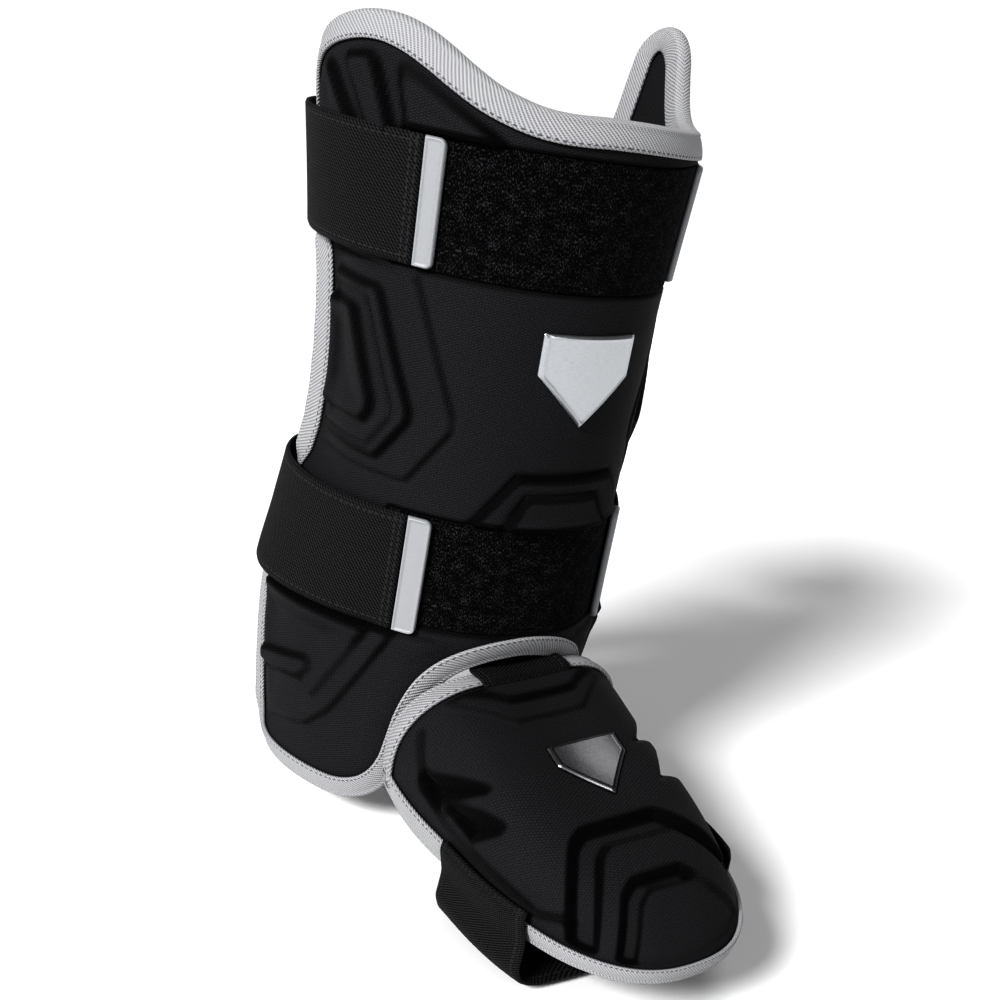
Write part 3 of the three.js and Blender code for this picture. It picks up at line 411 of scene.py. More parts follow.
def foot_pattern(x, t):
    """Where a plan point of the foot guard lies on its flat pattern."""
    x, t = as_arrays(x, t)
    share = (t - FOOT_TOE_START) / (heel_t(x) - FOOT_TOE_START)
    back = np.stack([PATTERN_HALF * np.arcsin(np.clip(x / FOOT_HALF, -1, 1)) * 2 / math.pi,
                     PATTERN_BACK * (share - 1)], -1)
    side, ahead = x / FOOT_HALF, np.maximum(t - FOOT_TOE_START, 0) / FOOT_TOE_LENGTH
    out = np.clip(norm_out(side, ahead), TINY, 1)
    draw = np.arcsin(out) * 2 / math.pi / out
    toe = np.stack([PATTERN_HALF * side * draw, -PATTERN_BACK - PATTERN_TOE * ahead * draw], -1)
    return np.where((t <= FOOT_TOE_START)[..., None], back, toe)


def arch_point(across, up):
    """The foot guard's plain arch, before the foam's thickness and the full shoulders."""
    x, t, _ = foot_plan(across, up)
    out = np.minimum(norm_out(x / FOOT_HALF, np.maximum(t - FOOT_TOE_START, 0) / FOOT_TOE_LENGTH), 1)
    rim = RIM_LIFT * (np.maximum(RIM_LIFT_RUN - t, 0) / RIM_LIFT_RUN) ** 2
    crest = read_table(FOOT_CREST[:, 0], FOOT_CREST[:, 1], t)
    height = rim + (crest - rim) * (1 - out**FOOT_ARCH_POWER) ** (1 / FOOT_ARCH_POWER)
    spread = 1 + HEEL_SPREAD / FOOT_HALF * smooth(1 - t / HEEL_SPREAD_RUN)
    return np.stack([x * spread, -t, height], -1)


def foot_point(across, up, rise):
    """Points of the foot guard from its flat pattern; past the pattern's edge it goes straight on."""
    across, up, rise = as_arrays(across, up, rise)
    probe = 0.3
    up_held = np.minimum(up, 0)
    _, t, out = foot_plan(across, up_held)
    held = 1 / np.maximum(out, 1)
    across_in = across * held
    up_in = np.where(up_held < -PATTERN_BACK, (up_held + PATTERN_BACK) * held - PATTERN_BACK, up_held)
    base = arch_point(across_in, up_in)
    a_step = np.where(across > 0, -probe, probe)
    u_step = np.where(up > -PATTERN_BACK, -probe, probe)
    along_a = unit((arch_point(across_in + a_step, up_in) - base) / a_step[..., None])
    along_u = unit((arch_point(across_in, up_in + u_step) - base) / u_step[..., None])
    normal = unit(np.cross(along_a, along_u))
    past = np.stack([across - across_in, up - up_in], -1)
    far = np.linalg.norm(past, axis=-1)
    back = past * (probe / np.maximum(far, TINY))[..., None]
    onward = unit(base - arch_point(across_in - back[..., 0], up_in - back[..., 1]))
    full = SHOULDER_OUT * np.sin(np.minimum(out, 1) * math.pi) ** 2 * (
        1 - smooth((t - SHOULDER_START) / SHOULDER_RUN))
    point = base + onward * far[..., None] + normal * (rise - FOOT_FOAM + full)[..., None]
    return foot_frame(point[..., 0], -point[..., 1], point[..., 2])


def segment_distance(start, end, x, y):
    """Distance of points from the straight line between two others."""
    (ax, ay), (run_x, run_y) = start, end - start
    share = np.clip(((x - ax) * run_x + (y - ay) * run_y) / (run_x**2 + run_y**2), 0, 1)
    return np.hypot(x - ax - share * run_x, y - ay - share * run_y)


def inside_distance(corners, x, y):
    """Distance in from a polygon's sides, negative outside it."""
    near = np.full(x.shape, FAR)
    within = np.zeros(x.shape, bool)
    for start, end in zip(corners, np.roll(corners, -1, axis=0)):
        near = np.minimum(near, segment_distance(start, end, x, y))
        (ax, ay), (bx, by) = start, end
        crosses = (ay > y) != (by > y)
        rise = by - ay if by != ay else TINY
        within ^= crosses & (x < (bx - ax) * (y - ay) / rise + ax)
    return np.where(within, near, -near)


def line_distance(points, x, y):
    near = np.full(x.shape, FAR)
    for start, end in zip(points[:-1], points[1:]):
        near = np.minimum(near, segment_distance(start, end, x, y))
    return near


def sides(side, corners):
    """A shape that is given for the left side or the middle, on each side that has it."""
    corners = np.array(corners, float)
    mirrored = corners * (-1, 1)
    return {"both": [corners, mirrored], "right": [mirrored]}.get(side, [corners])


def relief(x, y, pads, creases, place, settle=0.0):
    """Height that the moulded pads and pressed lines add; a pad may settle again behind its front."""
    height = np.zeros(x.shape)
    for side, rise, run, corners in pads:
        for shape in sides(side, corners):
            into = inside_distance(place(shape[:, 0], shape[:, 1]), x, y)
            height += rise * smooth(into / run) * (1 - settle * smooth((into - run) / SETTLE_RUN))
    for side, depth, width, points in creases:
        for line in sides(side, points):
            away = line_distance(place(line[:, 0], line[:, 1]), x, y)
            height -= depth * np.exp(-((away / width) ** 2))
    return height


def wedge(distance, thick, edge):
    """The foam's thickness at a distance in from its edge, with a soft bend where the wedge ends."""
    thin = edge + (thick - edge) / WEDGE_RUN * np.maximum(distance, 0)
    return thick - np.log1p(np.exp((thick - thin) * WEDGE_BEND)) / WEDGE_BEND


def shin_rise(x, y, distance):
    fade = smooth((distance - RELIEF_START) / SHIN_RELIEF_RUN)
    raised = relief(x, y, SHIN_PADS, SHIN_CREASES, shin_place, SETTLE) * fade
    for low, high, turn in BANDS.values():
        half = turn * PER_DEGREE
        box = np.array([(-half, low), (half, low), (half, high), (-half, high)])
        sunk = smooth(inside_distance(box, x, y) / SINK_RUN + SINK_START)
        raised = raised * (1 - sunk) - BAND_SINK * sunk
    first, second = (np.sin(x * a + y * b) for a, b in DRAPE_WAVES)
    return wedge(distance, SHIN_FOAM, SHIN_EDGE) + raised + DRAPE * first * second


def foot_rise(x, y, distance):
    fade = smooth((distance - RELIEF_START) / FOOT_RELIEF_RUN)
    raised = relief(x, y, FOOT_STEPS, FOOT_CREASES, foot_pattern) * fade
    return wedge(distance, FOOT_FOAM, FOOT_EDGE) + raised


def make_piece(name, points, faces, uv, material, node):
    """A mesh piece from points in the leg's frame, in millimetres, with a flat map in millimetres."""
    mesh = bpy.data.meshes.new(name)
    placed = (np.asarray(points).reshape(-1, 3) - SEAT) * MM
    mesh.from_pydata(placed.tolist(), [], [list(face) for face in faces])
    layer = mesh.uv_layers.new(name="flat")
    corner = np.empty(len(mesh.loops), dtype=np.int32)
    mesh.loops.foreach_get("vertex_index", corner)
    layer.data.foreach_set("uv", np.asarray(uv, float).reshape(-1, 2)[corner].ravel())
    mesh.polygons.foreach_set("use_smooth", [True] * len(mesh.polygons))
    mesh.update()
    piece = bpy.data.objects.new(name, mesh)
    bpy.context.scene.collection.objects.link(piece)
    mesh.materials.append(material)
    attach(piece, "root")
    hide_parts(node)
    return piece


def weld(piece):
    """Joins points of a piece that lie on one spot, such as where it closes on itself."""
    one_spot = 0.002 * MM
    work = bmesh.new()
    work.from_mesh(piece.data)
    bmesh.ops.remove_doubles(work, verts=work.verts, dist=one_spot)
    bmesh.ops.recalc_face_normals(work, faces=work.faces)
    work.to_mesh(piece.data)
    work.free()


def grid_faces(columns, rows, flip=False):
    i, j = np.meshgrid(np.arange(columns - 1), np.arange(rows - 1), indexing="ij")
    a = i * rows + j
    quads = np.stack([a, a + rows, a + rows + 1, a + 1], -1).reshape(-1, 4)
    return quads[:, ::-1] if flip else quads


def two_faced(quads, count):
    """Closes a sheet of quads with a second face, whose points come after the first face's, and a rim."""
    edges = {}
    for quad in quads.tolist():
        for a, b in zip(quad, quad[1:] + quad[:1]):
            if edges.pop((b, a), None) is None:
                edges[(a, b)] = True
    rim = np.array([(b, a, a + count, b + count) for a, b in edges])
    return np.vstack([quads, quads[:, ::-1] + count, rim])


def soften(field):
    """Each value of a grid averaged with its neighbours."""
    columns, rows = field.shape
    wide = np.pad(field, 1, mode="edge")
    return sum(wide[i:i + columns, j:j + rows] for i in range(3) for j in range(3)) / 9


def foam_panel(name, outline, step, rise_of, form, material):
    """A moulded foam panel: its two faces over one grid of its flat pattern, closed along the edge."""
    xs, ys = (np.arange(low, high, step) for low, high in zip(outline.min(0), outline.max(0)))
    x, y = np.meshgrid(xs, ys, indexing="ij")
    distance = inside_distance(outline, x, y)
    rise = rise_of(x, y, distance)
    # Painted shade: how far the knit's colour is darkened, from the steepness of the moulding, as shade on
    # its risers and slopes.
    slope = np.hypot(*np.gradient(rise, step))
    for _ in range(round(SHADE_SLOPE_BLUR / step)):
        slope = soften(slope)
    painted_shade = smooth((slope - SHADE_SLOPE_START) / SHADE_SLOPE_RANGE).ravel()
    kept = distance > FOAM_INSET
    cells = kept[:-1, :-1] & kept[1:, :-1] & kept[:-1, 1:] & kept[1:, 1:]
    quads = grid_faces(len(xs), len(ys))[cells.ravel()]
    faces = two_faced(quads, x.size)
    points = np.vstack([form(x, y, rise).reshape(-1, 3), form(x, y, np.zeros(x.shape)).reshape(-1, 3)])
    flat = np.stack([x, y], -1).reshape(-1, 2)
    used = np.unique(faces)
    renumber = np.zeros(len(points), dtype=int)
    renumber[used] = np.arange(len(used))
    both_flat = np.vstack([flat, flat])[used]
    piece = make_piece(name, points[used], renumber[faces], both_flat, material, name)
    painted_shade_layer = piece.data.attributes.new("painted_shade", "FLOAT", "POINT")
    painted_shade_layer.data.foreach_set("value", np.concatenate([painted_shade, np.zeros(x.size)])[used])


def tape_half(edge, gap):
    """Half the thickness of a panel's edge with its tape."""
    return edge / 2 + gap + TAPE


def tape_section(thick, edge, gap):
    """Once round the folded tape, as (distance in from the panel's edge, rise)."""
    climb, outer, inner = (thick - edge) / WEDGE_RUN, gap + TAPE, gap / 2
    leg = np.linspace(1, 0, TAPE_LEG_POINTS)
    lift = outer * TAPE_PRESS + TAPE_SWELL * np.sin(leg * math.pi) ** TAPE_SWELL_POWER
    nose = np.linspace(0, math.pi, TAPE_NOSE_POINTS)[1:-1]
    middle, half = edge / 2, tape_half(edge, gap)
    return np.array(
        [(TAPE_REACH, edge + climb * TAPE_REACH + inner)]
        + [(TAPE_REACH * s, edge + climb * TAPE_REACH * s + w) for s, w in zip(leg, lift)]
        + [(-(outer + TAPE_NOSE) * math.sin(a), middle + half * math.cos(a)) for a in nose]
        + [(TAPE_REACH * s, -w) for s, w in zip(leg[::-1], lift)]
        + [(TAPE_REACH, -inner), (0, -inner), (-inner, middle), (0, edge + inner)])


def folded_tape(name, corners, thick, edge, gap, form, cloth):
    """Tape folded over a panel's edge and sewn through: a rounded section carried round the outline."""
    curve, length = closed_curve(corners, TAPE_STEP)
    ahead = unit(np.roll(curve, -1, 0) - np.roll(curve, 1, 0))
    inward = np.stack([-ahead[:, 1], ahead[:, 0]], -1)
    section = tape_section(thick, edge, gap)
    spots = curve[:, None, :] + inward[:, None, :] * section[None, :, :1]
    points = form(spots[..., 0], spots[..., 1], np.broadcast_to(section[:, 1], spots.shape[:2]))
    stations, ring = points.shape[:2]
    round_it = np.concatenate([[0], np.cumsum(np.linalg.norm(np.diff(section, axis=0), axis=1))])
    along = np.arange(stations + 1) * length / stations
    points = np.concatenate([points, points[:1]], 0)
    points = np.concatenate([points, points[:, :1]], 1)
    faces = grid_faces(stations + 1, ring + 1, flip=True)
    uv = np.stack(np.broadcast_arrays(along[:, None], np.append(round_it, round_it[-1])[None, :]), -1)
    fold = TAPE_REACH + math.pi / 2 * tape_half(edge, gap) + TAPE_FOLD_SHIFT
    piece = make_piece(name, points, faces, uv, knit_tape(cloth, fold), name)
    weld(piece)


def webbing(name, face, thick, grid, size, material, lift=None):
    """A flat strap with rounded edges, from face(u, v, offset) with u along it and v across it."""
    columns, rows = grid
    u, v = np.meshgrid(np.linspace(0, 1, columns), np.linspace(0, 1, rows), indexing="ij")
    edge = np.minimum(np.minimum(v, 1 - v) * size[1], np.minimum(u, 1 - u) * size[0])
    short = 1 - np.clip(edge / (WEBBING_ROUND * thick), 0, 1)
    full = thick * (1 + np.sqrt(1 - short**2)) / 2
    along, across = u * size[0], v * size[1]
    extra = lift(along, across) if lift else 0
    top = face(u, v, thick / 2 + full / 2 + extra)
    bottom = face(u, v, thick / 2 - full / 2)
    faces = two_faced(grid_faces(columns, rows), columns * rows)
    points = np.vstack([top.reshape(-1, 3), bottom.reshape(-1, 3)])
    flat = np.stack([along, across], -1).reshape(-1, 2)
    piece = make_piece(name, points, faces, np.vstack([flat, flat]), material, name)
    weld(piece)


def pull_tab(name, sign, low, high, rest, first_turn, wide):
    """A rubber tab at a strap's end: two corners rounded, and a raised line inside its edge."""
    tall = high - low
    u, v = np.meshgrid(*(np.linspace(0, 1, count) for count in TAB_GRID), indexing="ij")
    a = u * wide
    reach = np.maximum(TAB_CORNER - a, 0)
    round_off = TAB_CORNER - np.sqrt(TAB_CORNER**2 - reach**2)
    b = round_off + v * (tall - 2 * round_off)
    edge = np.minimum(np.minimum(a, wide - a), np.minimum(b - round_off, tall - round_off - b))
    line = LINE_RISE * smooth(edge / LINE_RISE_RUN)
    line -= LINE_FALL * smooth((edge - LINE_WIDTH) / LINE_FALL_RUN)
    base = rest + TAB_LIFT
    shoulder = TAB_SHOULDER * np.sqrt(np.clip(edge / TAB_SHOULDER_RUN, 0, 1))
    top = base + TAB_THICK * (TAB_WALL + shoulder) + line
    turn = sign * (first_turn + a / PER_DEGREE)
    points = np.vstack([shin_point(turn, low + b, rise).reshape(-1, 3) for rise in (top, base)])
    faces = two_faced(grid_faces(*TAB_GRID, flip=sign < 0), a.size)
    flat = np.stack([a, b], -1).reshape(-1, 2)
    weld(make_piece(name, points, faces, np.vstack([flat, flat]), rubber, name))


def badge(name, centre, width, height, start, form, material):
    """A plain five-sided plate with its point down and a bevelled edge."""
    half, shoulder = width / 2, height * BADGE_SHOULDER
    corners = np.array([(-half, height / 2), (-half, height / 2 - shoulder), (0, -height / 2),
                        (half, height / 2 - shoulder), (half, height / 2)])
    share = np.linspace(0, 1, BADGE_SIDE_POINTS, endpoint=False)[None, :, None]
    around = (corners[:, None] * (1 - share) + np.roll(corners, -1, 0)[:, None] * share).reshape(-1, 2)
    middle = np.array([0, height * BADGE_MIDDLE])
    # Rings from the middle outwards: share of the way to the edge, and rise.
    face = [(s, BADGE_THICK - BADGE_DISH) for s in np.linspace(0, BADGE_FACE, BADGE_FACE_RINGS)]
    rings = face + BADGE_RIM
    spots = np.array([
        np.column_stack([middle + (around - middle) * s, np.full(len(around), start + rise)])
        for s, rise in rings])
    spots = np.concatenate([spots, spots[:, :1]], 1)
    points = form(centre[0] + spots[..., 0], centre[1] + spots[..., 1], spots[..., 2])
    faces = grid_faces(len(rings), spots.shape[1])
    weld(make_piece(name, points, faces, spots[..., :2], material, name))


class Shader:
    """A material built node by node; every value is a socket or a number."""

    def __init__(self, name, color, roughness, metallic=0.0, sheen=0.0, gloss=0.5):
        self.material = bpy.data.materials.new(name)
        self.material.use_nodes = True
        self.tree = self.material.node_tree
        self.surface = self.tree.nodes["Principled BSDF"]
        self.surface.inputs["Base Color"].default_value = (*color, 1)
        self.surface.inputs["Roughness"].default_value = roughness
        self.surface.inputs["Metallic"].default_value = metallic
        self.surface.inputs["Specular IOR Level"].default_value = gloss
        self.surface.inputs["Sheen Weight"].default_value = sheen
        self.surface.inputs["Sheen Roughness"].default_value = 0.5
        flat = self.tree.nodes.new("ShaderNodeUVMap")
        flat.uv_map = "flat"
        parts = self.tree.nodes.new("ShaderNodeSeparateXYZ")
        self.tree.links.new(flat.outputs["UV"], parts.inputs[0])
        self.flat = flat.outputs["UV"]
        self.along, self.across = parts.outputs["X"], parts.outputs["Y"]

    def join(self, value, socket):
        if isinstance(value, bpy.types.NodeSocket):
            self.tree.links.new(value, socket)
        else:
            socket.default_value = value

    def math(self, operation, *values):
        node = self.tree.nodes.new("ShaderNodeMath")
        node.operation = operation
        for value, socket in zip(values, node.inputs):
            self.join(value, socket)
        return node.outputs[0]

    def plus(self, base, share, value):
        """A base with a share of another value added."""
        return self.math("MULTIPLY_ADD", value, share, base)

    def noise(self, scale, detail, stretch=None):
        node = self.tree.nodes.new("ShaderNodeTexNoise")
        node.inputs["Scale"].default_value = scale
        node.inputs["Detail"].default_value = detail
        source = self.flat
        if stretch:
            mapping = self.tree.nodes.new("ShaderNodeMapping")
            mapping.inputs["Scale"].default_value = stretch
            self.join(source, mapping.inputs["Vector"])
            source = mapping.outputs[0]
        self.join(source, node.inputs["Vector"])
        return node.outputs["Fac"]

    def mix(self, share, first, second):
        node = self.tree.nodes.new("ShaderNodeMix")
        node.data_type = "RGBA"
        self.join(share, node.inputs["Factor"])
        for value, socket in ((first, node.inputs["A"]), (second, node.inputs["B"])):
            self.join((*value, 1) if isinstance(value, tuple) else value, socket)
        return node.outputs["Result"]

    def wave(self, value, pitch):
        """0 to 1 and back, once in each pitch."""
        turn = self.math("MULTIPLY", value, 2 * math.pi / pitch)
        return self.plus(0.5, 0.5, self.math("SINE", turn))

    def stitches(self, across, place, width, along, pitch, share):
        """A row of stitches at a place across the cloth: 1 on the thread, else 0."""
        away = self.math("ABSOLUTE", self.math("SUBTRACT", across, place))
        on_row = self.math("LESS_THAN", away, width)
        on_dash = self.math("LESS_THAN", self.math("FRACT", self.math("DIVIDE", along, pitch)), share)
        return self.math("MULTIPLY", on_row, on_dash)

    def color(self, value):
        self.join(value, self.surface.inputs["Base Color"])

    def bump(self, height, distance, strength):
        node = self.tree.nodes.new("ShaderNodeBump")
        node.inputs["Strength"].default_value = strength
        node.inputs["Distance"].default_value = distance * MM
        self.join(height, node.inputs["Height"])
        self.tree.links.new(node.outputs["Normal"], self.surface.inputs["Normal"])


def knit_foam():
    """Fine black knit, laminated on moulded foam."""
    s = Shader("black_knit", (0.012, 0.012, 0.013), 0.6, sheen=0.03, gloss=0.06)
    hollow, yarn, painted_shade_tone = (0.004, 0.004, 0.0045), (0.05, 0.05, 0.053), (0.0025, 0.0025, 0.003)
    rows = s.wave(s.plus(s.along, 2.0, s.across), pitch=2.3)
    loops = s.wave(s.plus(s.across, -0.45, s.along), pitch=1.1)
    cloth = s.math("MULTIPLY", rows, loops)
    speck = s.noise(scale=1.5, detail=3)
    shade = s.plus(s.math("MULTIPLY", speck, 0.75), 0.45, cloth)
    # Painted shade: on steep risers, where the moulding would fall into shade, the colour darkens towards a
    # near black.
    painted_shade = s.tree.nodes.new("ShaderNodeAttribute")
    painted_shade.attribute_name = "painted_shade"
    painted_shade_share = s.math("MULTIPLY", painted_shade.outputs["Fac"], 0.86)
    s.color(s.mix(painted_shade_share, s.mix(shade, hollow, yarn), painted_shade_tone))
    s.bump(s.math("ADD", cloth, speck), distance=0.22, strength=0.8)
    return s.material


def loop_pile():
    """Brushed loop pile, with painted glints: lighter specks in its colour where short hairs would catch the
    light.
    """
    s = Shader("loop_pile", (0.006, 0.006, 0.006), 0.95, sheen=0.04, gloss=0.08)
    root, painted_glint = (0.004, 0.004, 0.0045), (0.085, 0.085, 0.09)
    hairs = s.noise(scale=1.9, detail=3, stretch=(1.0, 0.5, 1.0))
    tufts = s.noise(scale=0.22, detail=2)
    # Painted highlight: where the noise is high, the colour lifts to a lighter tone as glints on the hairs.
    bright = s.math("MULTIPLY", s.math("SUBTRACT", s.plus(hairs, 0.3, tufts), 0.66), 3.2)
    s.color(s.mix(bright, root, painted_glint))
    s.bump(hairs, distance=0.5, strength=0.7)
    return s.material


def woven_elastic(name, length, width):
    """Woven elastic with a twill lean, and stitches inside its edges and across its ends."""
    s = Shader(name, (0.01, 0.01, 0.011), 0.7, sheen=0.02, gloss=0.1)
    hollow, yarn, thread = (0.001, 0.001, 0.0011), (0.046, 0.046, 0.048), (0.04, 0.04, 0.042)
    twill = s.wave(s.plus(s.along, 0.8, s.across), pitch=1.6)
    ribs = s.wave(s.across, pitch=1.3)
    cloth = s.plus(s.math("MULTIPLY", twill, 0.7), 0.3, ribs)
    edge = s.math("MINIMUM", s.across, s.math("SUBTRACT", width, s.across))
    end = s.math("MINIMUM", s.along, s.math("SUBTRACT", length, s.along))
    rows = s.stitches(edge, place=3.0, width=0.4, along=s.along, pitch=2.8, share=0.62)
    # Two rows across each end, on either side of a line.
    from_line = s.math("ABSOLUTE", s.math("SUBTRACT", end, 3.4))
    ends = s.stitches(from_line, place=1.2, width=0.4, along=s.across, pitch=2.8, share=0.62)
    sewn = s.math("MAXIMUM", rows, ends)
    speck = s.noise(scale=1.2, detail=2)
    shade = s.math("MULTIPLY", cloth, s.plus(0.4, 0.9, speck))
    s.color(s.mix(sewn, s.mix(shade, hollow, yarn), thread))
    s.bump(s.math("ADD", cloth, sewn), distance=0.3, strength=0.8)
    return s.material


def knit_tape(name, fold):
    """Light grey knitted tape: ribs that lean both ways from the fold, and a row of stitches inside."""
    s = Shader(name, (0.7, 0.7, 0.71), 0.75, sheen=0.1)
    yarn, hollow, thread = (0.37, 0.37, 0.38), (0.10, 0.10, 0.107), (0.10, 0.10, 0.11)
    from_fold = s.math("ABSOLUTE", s.math("SUBTRACT", s.across, fold))
    ribs = s.wave(s.plus(s.along, 0.85, from_fold), pitch=1.7)
    cells = s.wave(s.plus(from_fold, -0.3, s.along), pitch=0.9)
    holes = s.math("MULTIPLY", s.math("SUBTRACT", 1.0, ribs), s.plus(0.4, 0.6, cells))
    base = s.mix(s.math("POWER", holes, 1.6), yarn, hollow)
    from_edge = s.math("SUBTRACT", fold, from_fold)
    sewn = s.stitches(from_edge, place=2.5, width=0.33, along=s.along, pitch=2.7, share=0.5)
    s.color(s.mix(sewn, base, thread))
    s.bump(s.math("SUBTRACT", ribs, sewn), distance=0.35, strength=0.8)
    return s.material


def moulded_rubber():
    s = Shader("grey_rubber", (0.62, 0.63, 0.66), 0.42)
    grain = s.noise(scale=0.9, detail=3)
    s.color(s.mix(grain, (0.265, 0.27, 0.28), (0.295, 0.30, 0.31)))
    s.bump(grain, distance=0.05, strength=0.4)
    return s.material


def satin_silver(name, dark, bright):
    """Satin metal plating, finely brushed along the plate."""
    s = Shader(name, bright, 0.3, metallic=0.95)
    brushed = s.noise(scale=1.4, detail=3, stretch=(0.25, 5, 1))
    s.color(s.mix(brushed, dark, bright))
    s.join(s.plus(0.2, 0.22, brushed), s.surface.inputs["Roughness"])
    s.bump(brushed, distance=0.03, strength=0.5)
    return s.material


knit = knit_foam()
pile = loop_pile()
rubber = moulded_rubber()

right_half = [shin_place(t, z) for t, z in RIGHT_TOP + SIDE]
left_half = [shin_place(-t, z) for t, z in LEFT_TOP + SIDE]
shin_outline = np.array(
    [shin_place(0, TOP_CENTRE_Z)] + left_half + [shin_place(0, NOTCH_CENTRE_Z)] + right_half[::-1])

toe_bearing = (np.arange(TOE_PARTS + 1) / TOE_PARTS - 0.5) * math.pi
toe_line = np.stack([
    PATTERN_HALF * np.sign(toe_bearing) * np.abs(np.sin(toe_bearing)) ** (2 / FOOT_PLAN_POWER),
    -PATTERN_BACK - PATTERN_TOE * np.abs(np.cos(toe_bearing)) ** (2 / FOOT_PLAN_POWER)], -1)
back_share, heel_share = (np.linspace(0, 1, parts + 1)[1:-1, None] for parts in (BACK_PARTS, HEEL_PARTS))
heel_right, heel_left = np.array([PATTERN_HALF, 0.0]), np.array([-PATTERN_HALF, 0.0])
heel_line = heel_right + (heel_left - heel_right) * heel_share
heel_line[:, 1] += HEEL_BOW * (1 - (heel_line[:, 0] / PATTERN_HALF) ** 2)
foot_outline = np.vstack([
    toe_line, toe_line[-1] + (heel_right - toe_line[-1]) * back_share, heel_right[None],
    heel_line, heel_left[None], heel_left + (toe_line[0] - heel_left) * back_share])

foam_panel("shin_shell", shin_outline, SHIN_GRID, shin_rise, shin_form, knit)
foam_panel("foot_shell", foot_outline, FOOT_GRID, foot_rise, foot_point, knit)
folded_tape("shin_binding", shin_outline, SHIN_FOAM, SHIN_EDGE, SHIN_TAPE_GAP, shin_form,
            "shin_tape")
folded_tape("foot_binding", foot_outline, FOOT_FOAM, FOOT_EDGE, FOOT_TAPE_GAP, foot_point,
            "foot_tape")

shag = np.random.default_rng(7)


def pile_height(along, across):
    return PILE_RISE * shag.random(along.shape)


def loop_band(name, low, high, turn):
    """A band of loop pile that lies across the front, in its place in the foam."""
    bed = SHIN_FOAM - BAND_SINK + FIT_GAP
    size = (2 * turn * PER_DEGREE, high - low)

    def band_face(u, v, rise):
        return shin_point(turn * (2 * u - 1), low + (high - low) * v, bed + rise)

    grid = [int(length / BAND_GRID) for length in size]
    webbing(f"{name}_loop_band", band_face, BAND_THICK, grid, size, pile,
            pile_height)


def strap_with_tabs(name, low, high, rest, tab_turn, tab_width):
    """An elastic strap round the back of the leg, which climbs from the band over the tape, and its tabs."""
    start = tab_turn + (tab_width + FIT_GAP) / PER_DEGREE
    size = ((360 - 2 * start) * PER_DEGREE * STRAP_EASE, high - low)

    def strap_face(u, v, offset):
        turn = start + (360 - 2 * start) * u
        over = smooth((np.minimum(turn, 360 - turn) - start) / STRAP_CLIMB)
        rise = rest + (STRAP_OVER_TAPE - rest) * over + offset
        return shin_point(turn, low + (high - low) * v, rise)

    webbing(f"{name}_strap", strap_face, STRAP_THICK, STRAP_GRID, size,
            woven_elastic(f"{name}_elastic", *size))
    for hand, sign in (("left", -1), ("right", 1)):
        pull_tab(f"{name}_{hand}_tab", sign, low, high, rest, tab_turn, tab_width)


for level, sizes in BANDS.items():
    loop_band(level, *sizes)
for level, sizes in STRAPS.items():
    strap_with_tabs(level, *sizes)

turn, z, width, height = SHIN_BADGE
badge("shin_badge", shin_place(turn, z), width, height, SHIN_FOAM + FIT_GAP, shin_form,
      satin_silver("bright_silver", (0.40, 0.41, 0.425), (0.62, 0.63, 0.65)))
x, t, width, height = FOOT_BADGE
badge("foot_badge", foot_pattern(x, t), width, height, FOOT_FOAM + FIT_GAP, foot_point,
      satin_silver("dark_silver", (0.10, 0.10, 0.105), (0.19, 0.19, 0.195)))


def connector_face(u, v, offset):
    x = CONNECTOR_HALF * (2 * v - 1)
    inside = offset - SHIN_TAPE_GAP - TAPE - FIT_GAP - CONNECTOR_THICK
    over = FOOT_TAPE_GAP + TAPE + FIT_GAP + offset
    half = read_table(SHIN_SECTIONS[:, 0], SHIN_SECTIONS[:, 1], np.array([NOTCH_CENTRE_Z], float))[0]
    turn = np.arcsin(x / half) / DEGREE
    spot = foot_pattern(x, heel_t(x))[..., 0]
    notch = NOTCH_CENTRE_Z - NOTCH_FALL * turn**2
    stops = [
        shin_point(turn, notch + CONNECTOR_REACH["top"], inside),
        shin_point(turn, notch + CONNECTOR_REACH["tuck"], inside),
        shin_point(turn, notch - CONNECTOR_REACH["drop"], inside),
        foot_point(spot, CONNECTOR_REACH["past"], FOOT_EDGE + over),
        foot_point(spot, -CONNECTOR_REACH["over"], FOOT_FOAM + over),
        foot_point(spot, -CONNECTOR_REACH["end"], FOOT_FOAM + FIT_GAP + offset),
    ]
    return spline(stops, u)


def connector_seams(along, across):
    """The elastic is pressed down by rows of sewing across its width."""
    return -SEAM_DEPTH * np.exp(-((along % SEAM_PITCH - SEAM_PITCH / 2) / SEAM_WIDTH) ** 2)


connector_size = (CONNECTOR_LENGTH, 2 * CONNECTOR_HALF)
webbing("foot_connector", connector_face, CONNECTOR_THICK, CONNECTOR_GRID, connector_size,
        woven_elastic("connector_elastic", *connector_size),
        connector_seams)

one_side = np.array([(x, n, 0) for x, n in FOOT_STRAP_PATH], float)
whole_path = np.vstack([one_side, (one_side[:-1] * (-1, 1, 1))[::-1]])


def foot_strap_face(u, v, offset):
    probe = 0.002
    t = FOOT_STRAP_START + (FOOT_STRAP_END - FOOT_STRAP_START) * v
    spot = spline(whole_path, u)
    along = unit(spline(whole_path, u + probe) - spline(whole_path, u - probe))
    shift = offset - FOOT_STRAP_THICK / 2
    ahead = np.maximum(t - FOOT_TOE_START, 0) / FOOT_TOE_LENGTH
    rim = (1 - ahead**FOOT_PLAN_POWER) ** (1 / FOOT_PLAN_POWER)
    return foot_frame((spot[..., 0] + along[..., 1] * shift) * rim, t, spot[..., 1] - along[..., 0] * shift)


foot_strap_size = (FOOT_STRAP_LENGTH, FOOT_STRAP_END - FOOT_STRAP_START)
webbing("foot_strap", foot_strap_face, FOOT_STRAP_THICK, FOOT_STRAP_GRID, foot_strap_size,
        woven_elastic("foot_elastic", *foot_strap_size))


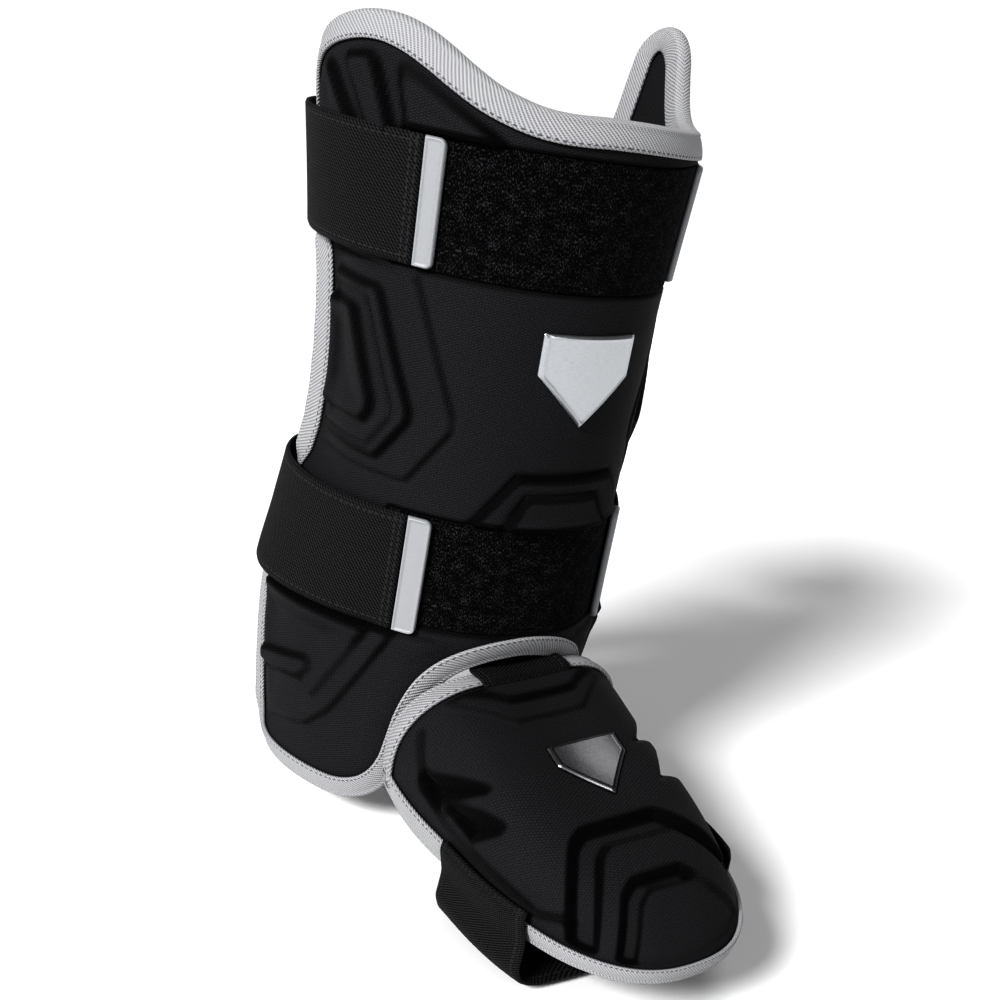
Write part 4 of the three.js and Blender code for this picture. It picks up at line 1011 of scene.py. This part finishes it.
def plain_floor(height):
    bpy.ops.mesh.primitive_plane_add(size=FLOOR_SIZE, location=(0, 0, height))
    floor = bpy.context.object
    floor.name = "floor"
    s = Shader("pale_floor", (0.93, 0.93, 0.93), 0.9)
    s.color(s.mix(s.noise(scale=30, detail=2), (0.94, 0.94, 0.94), (0.96, 0.96, 0.96)))
    floor.data.materials.append(s.material)
    floor.data.uv_layers[0].name = "flat"
    floor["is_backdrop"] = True


def hang_light(name, kind, place, power):
    """A light of a kind at a place, turned to the part."""
    light = bpy.data.lights.new(name, kind)
    light.energy = power
    holder = bpy.data.objects.new(name, light)
    holder.location = place
    holder.rotation_euler = (Vector(LIGHT_AIM) - Vector(place)).to_track_quat("-Z", "Y").to_euler()
    bpy.context.scene.collection.objects.link(holder)
    return light


visual_low, visual_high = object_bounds()
plain_floor(visual_low[2] - FLOOR_DROP)
hang_light("key", "SUN", SUN_FROM, SUN_POWER).angle = SUN_SPREAD * DEGREE
for name, (place, power) in LAMPS.items():
    lamp = hang_light(name, "AREA", place, power)
    lamp.shape, lamp.size = "DISK", LAMP_SIZE

world = bpy.data.worlds.new("studio")
world.use_nodes = True
nodes, links = world.node_tree.nodes, world.node_tree.links
backdrop = nodes["Background"]
backdrop.inputs["Color"].default_value = (1, 1, 1, 1)
direction, split, shade = (nodes.new(kind) for kind in (
    "ShaderNodeTexCoord", "ShaderNodeSeparateXYZ", "ShaderNodeMapRange"))
links.new(direction.outputs["Generated"], split.inputs[0])
links.new(split.outputs["Z"], shade.inputs["Value"])
for socket, value in ROOM_LIGHT.items():
    shade.inputs[socket].default_value = value
links.new(shade.outputs["Result"], backdrop.inputs["Strength"])
bpy.context.scene.world = world
bpy.context.scene.view_settings.view_transform = "Standard"
bpy.context.scene.view_settings.look = "Very High Contrast"

turn, rise, roll = (angle * DEGREE for angle in (VIEW_TURN, VIEW_RISE, VIEW_ROLL))
back_axis = np.array([math.sin(turn) * math.cos(rise), -math.cos(turn) * math.cos(rise), math.sin(rise)])
level_axis = np.array([math.cos(turn), math.sin(turn), 0])
upright = np.cross(back_axis, level_axis)
right_axis = math.cos(roll) * level_axis + math.sin(roll) * upright
up_axis = -math.sin(roll) * level_axis + math.cos(roll) * upright
eye = (VIEW_AIM - SEAT + VIEW_DISTANCE * back_axis) * MM
camera = bpy.data.objects.new("camera", bpy.data.cameras.new("camera"))
camera.data.lens, camera.data.sensor_width = LENS, SENSOR
camera.matrix_world = Matrix(
    [[right_axis[k], up_axis[k], back_axis[k], eye[k]] for k in range(3)] + [[0, 0, 0, 1]])
bpy.context.scene.collection.objects.link(camera)
bpy.context.scene.camera = camera

visual_low, visual_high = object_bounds()
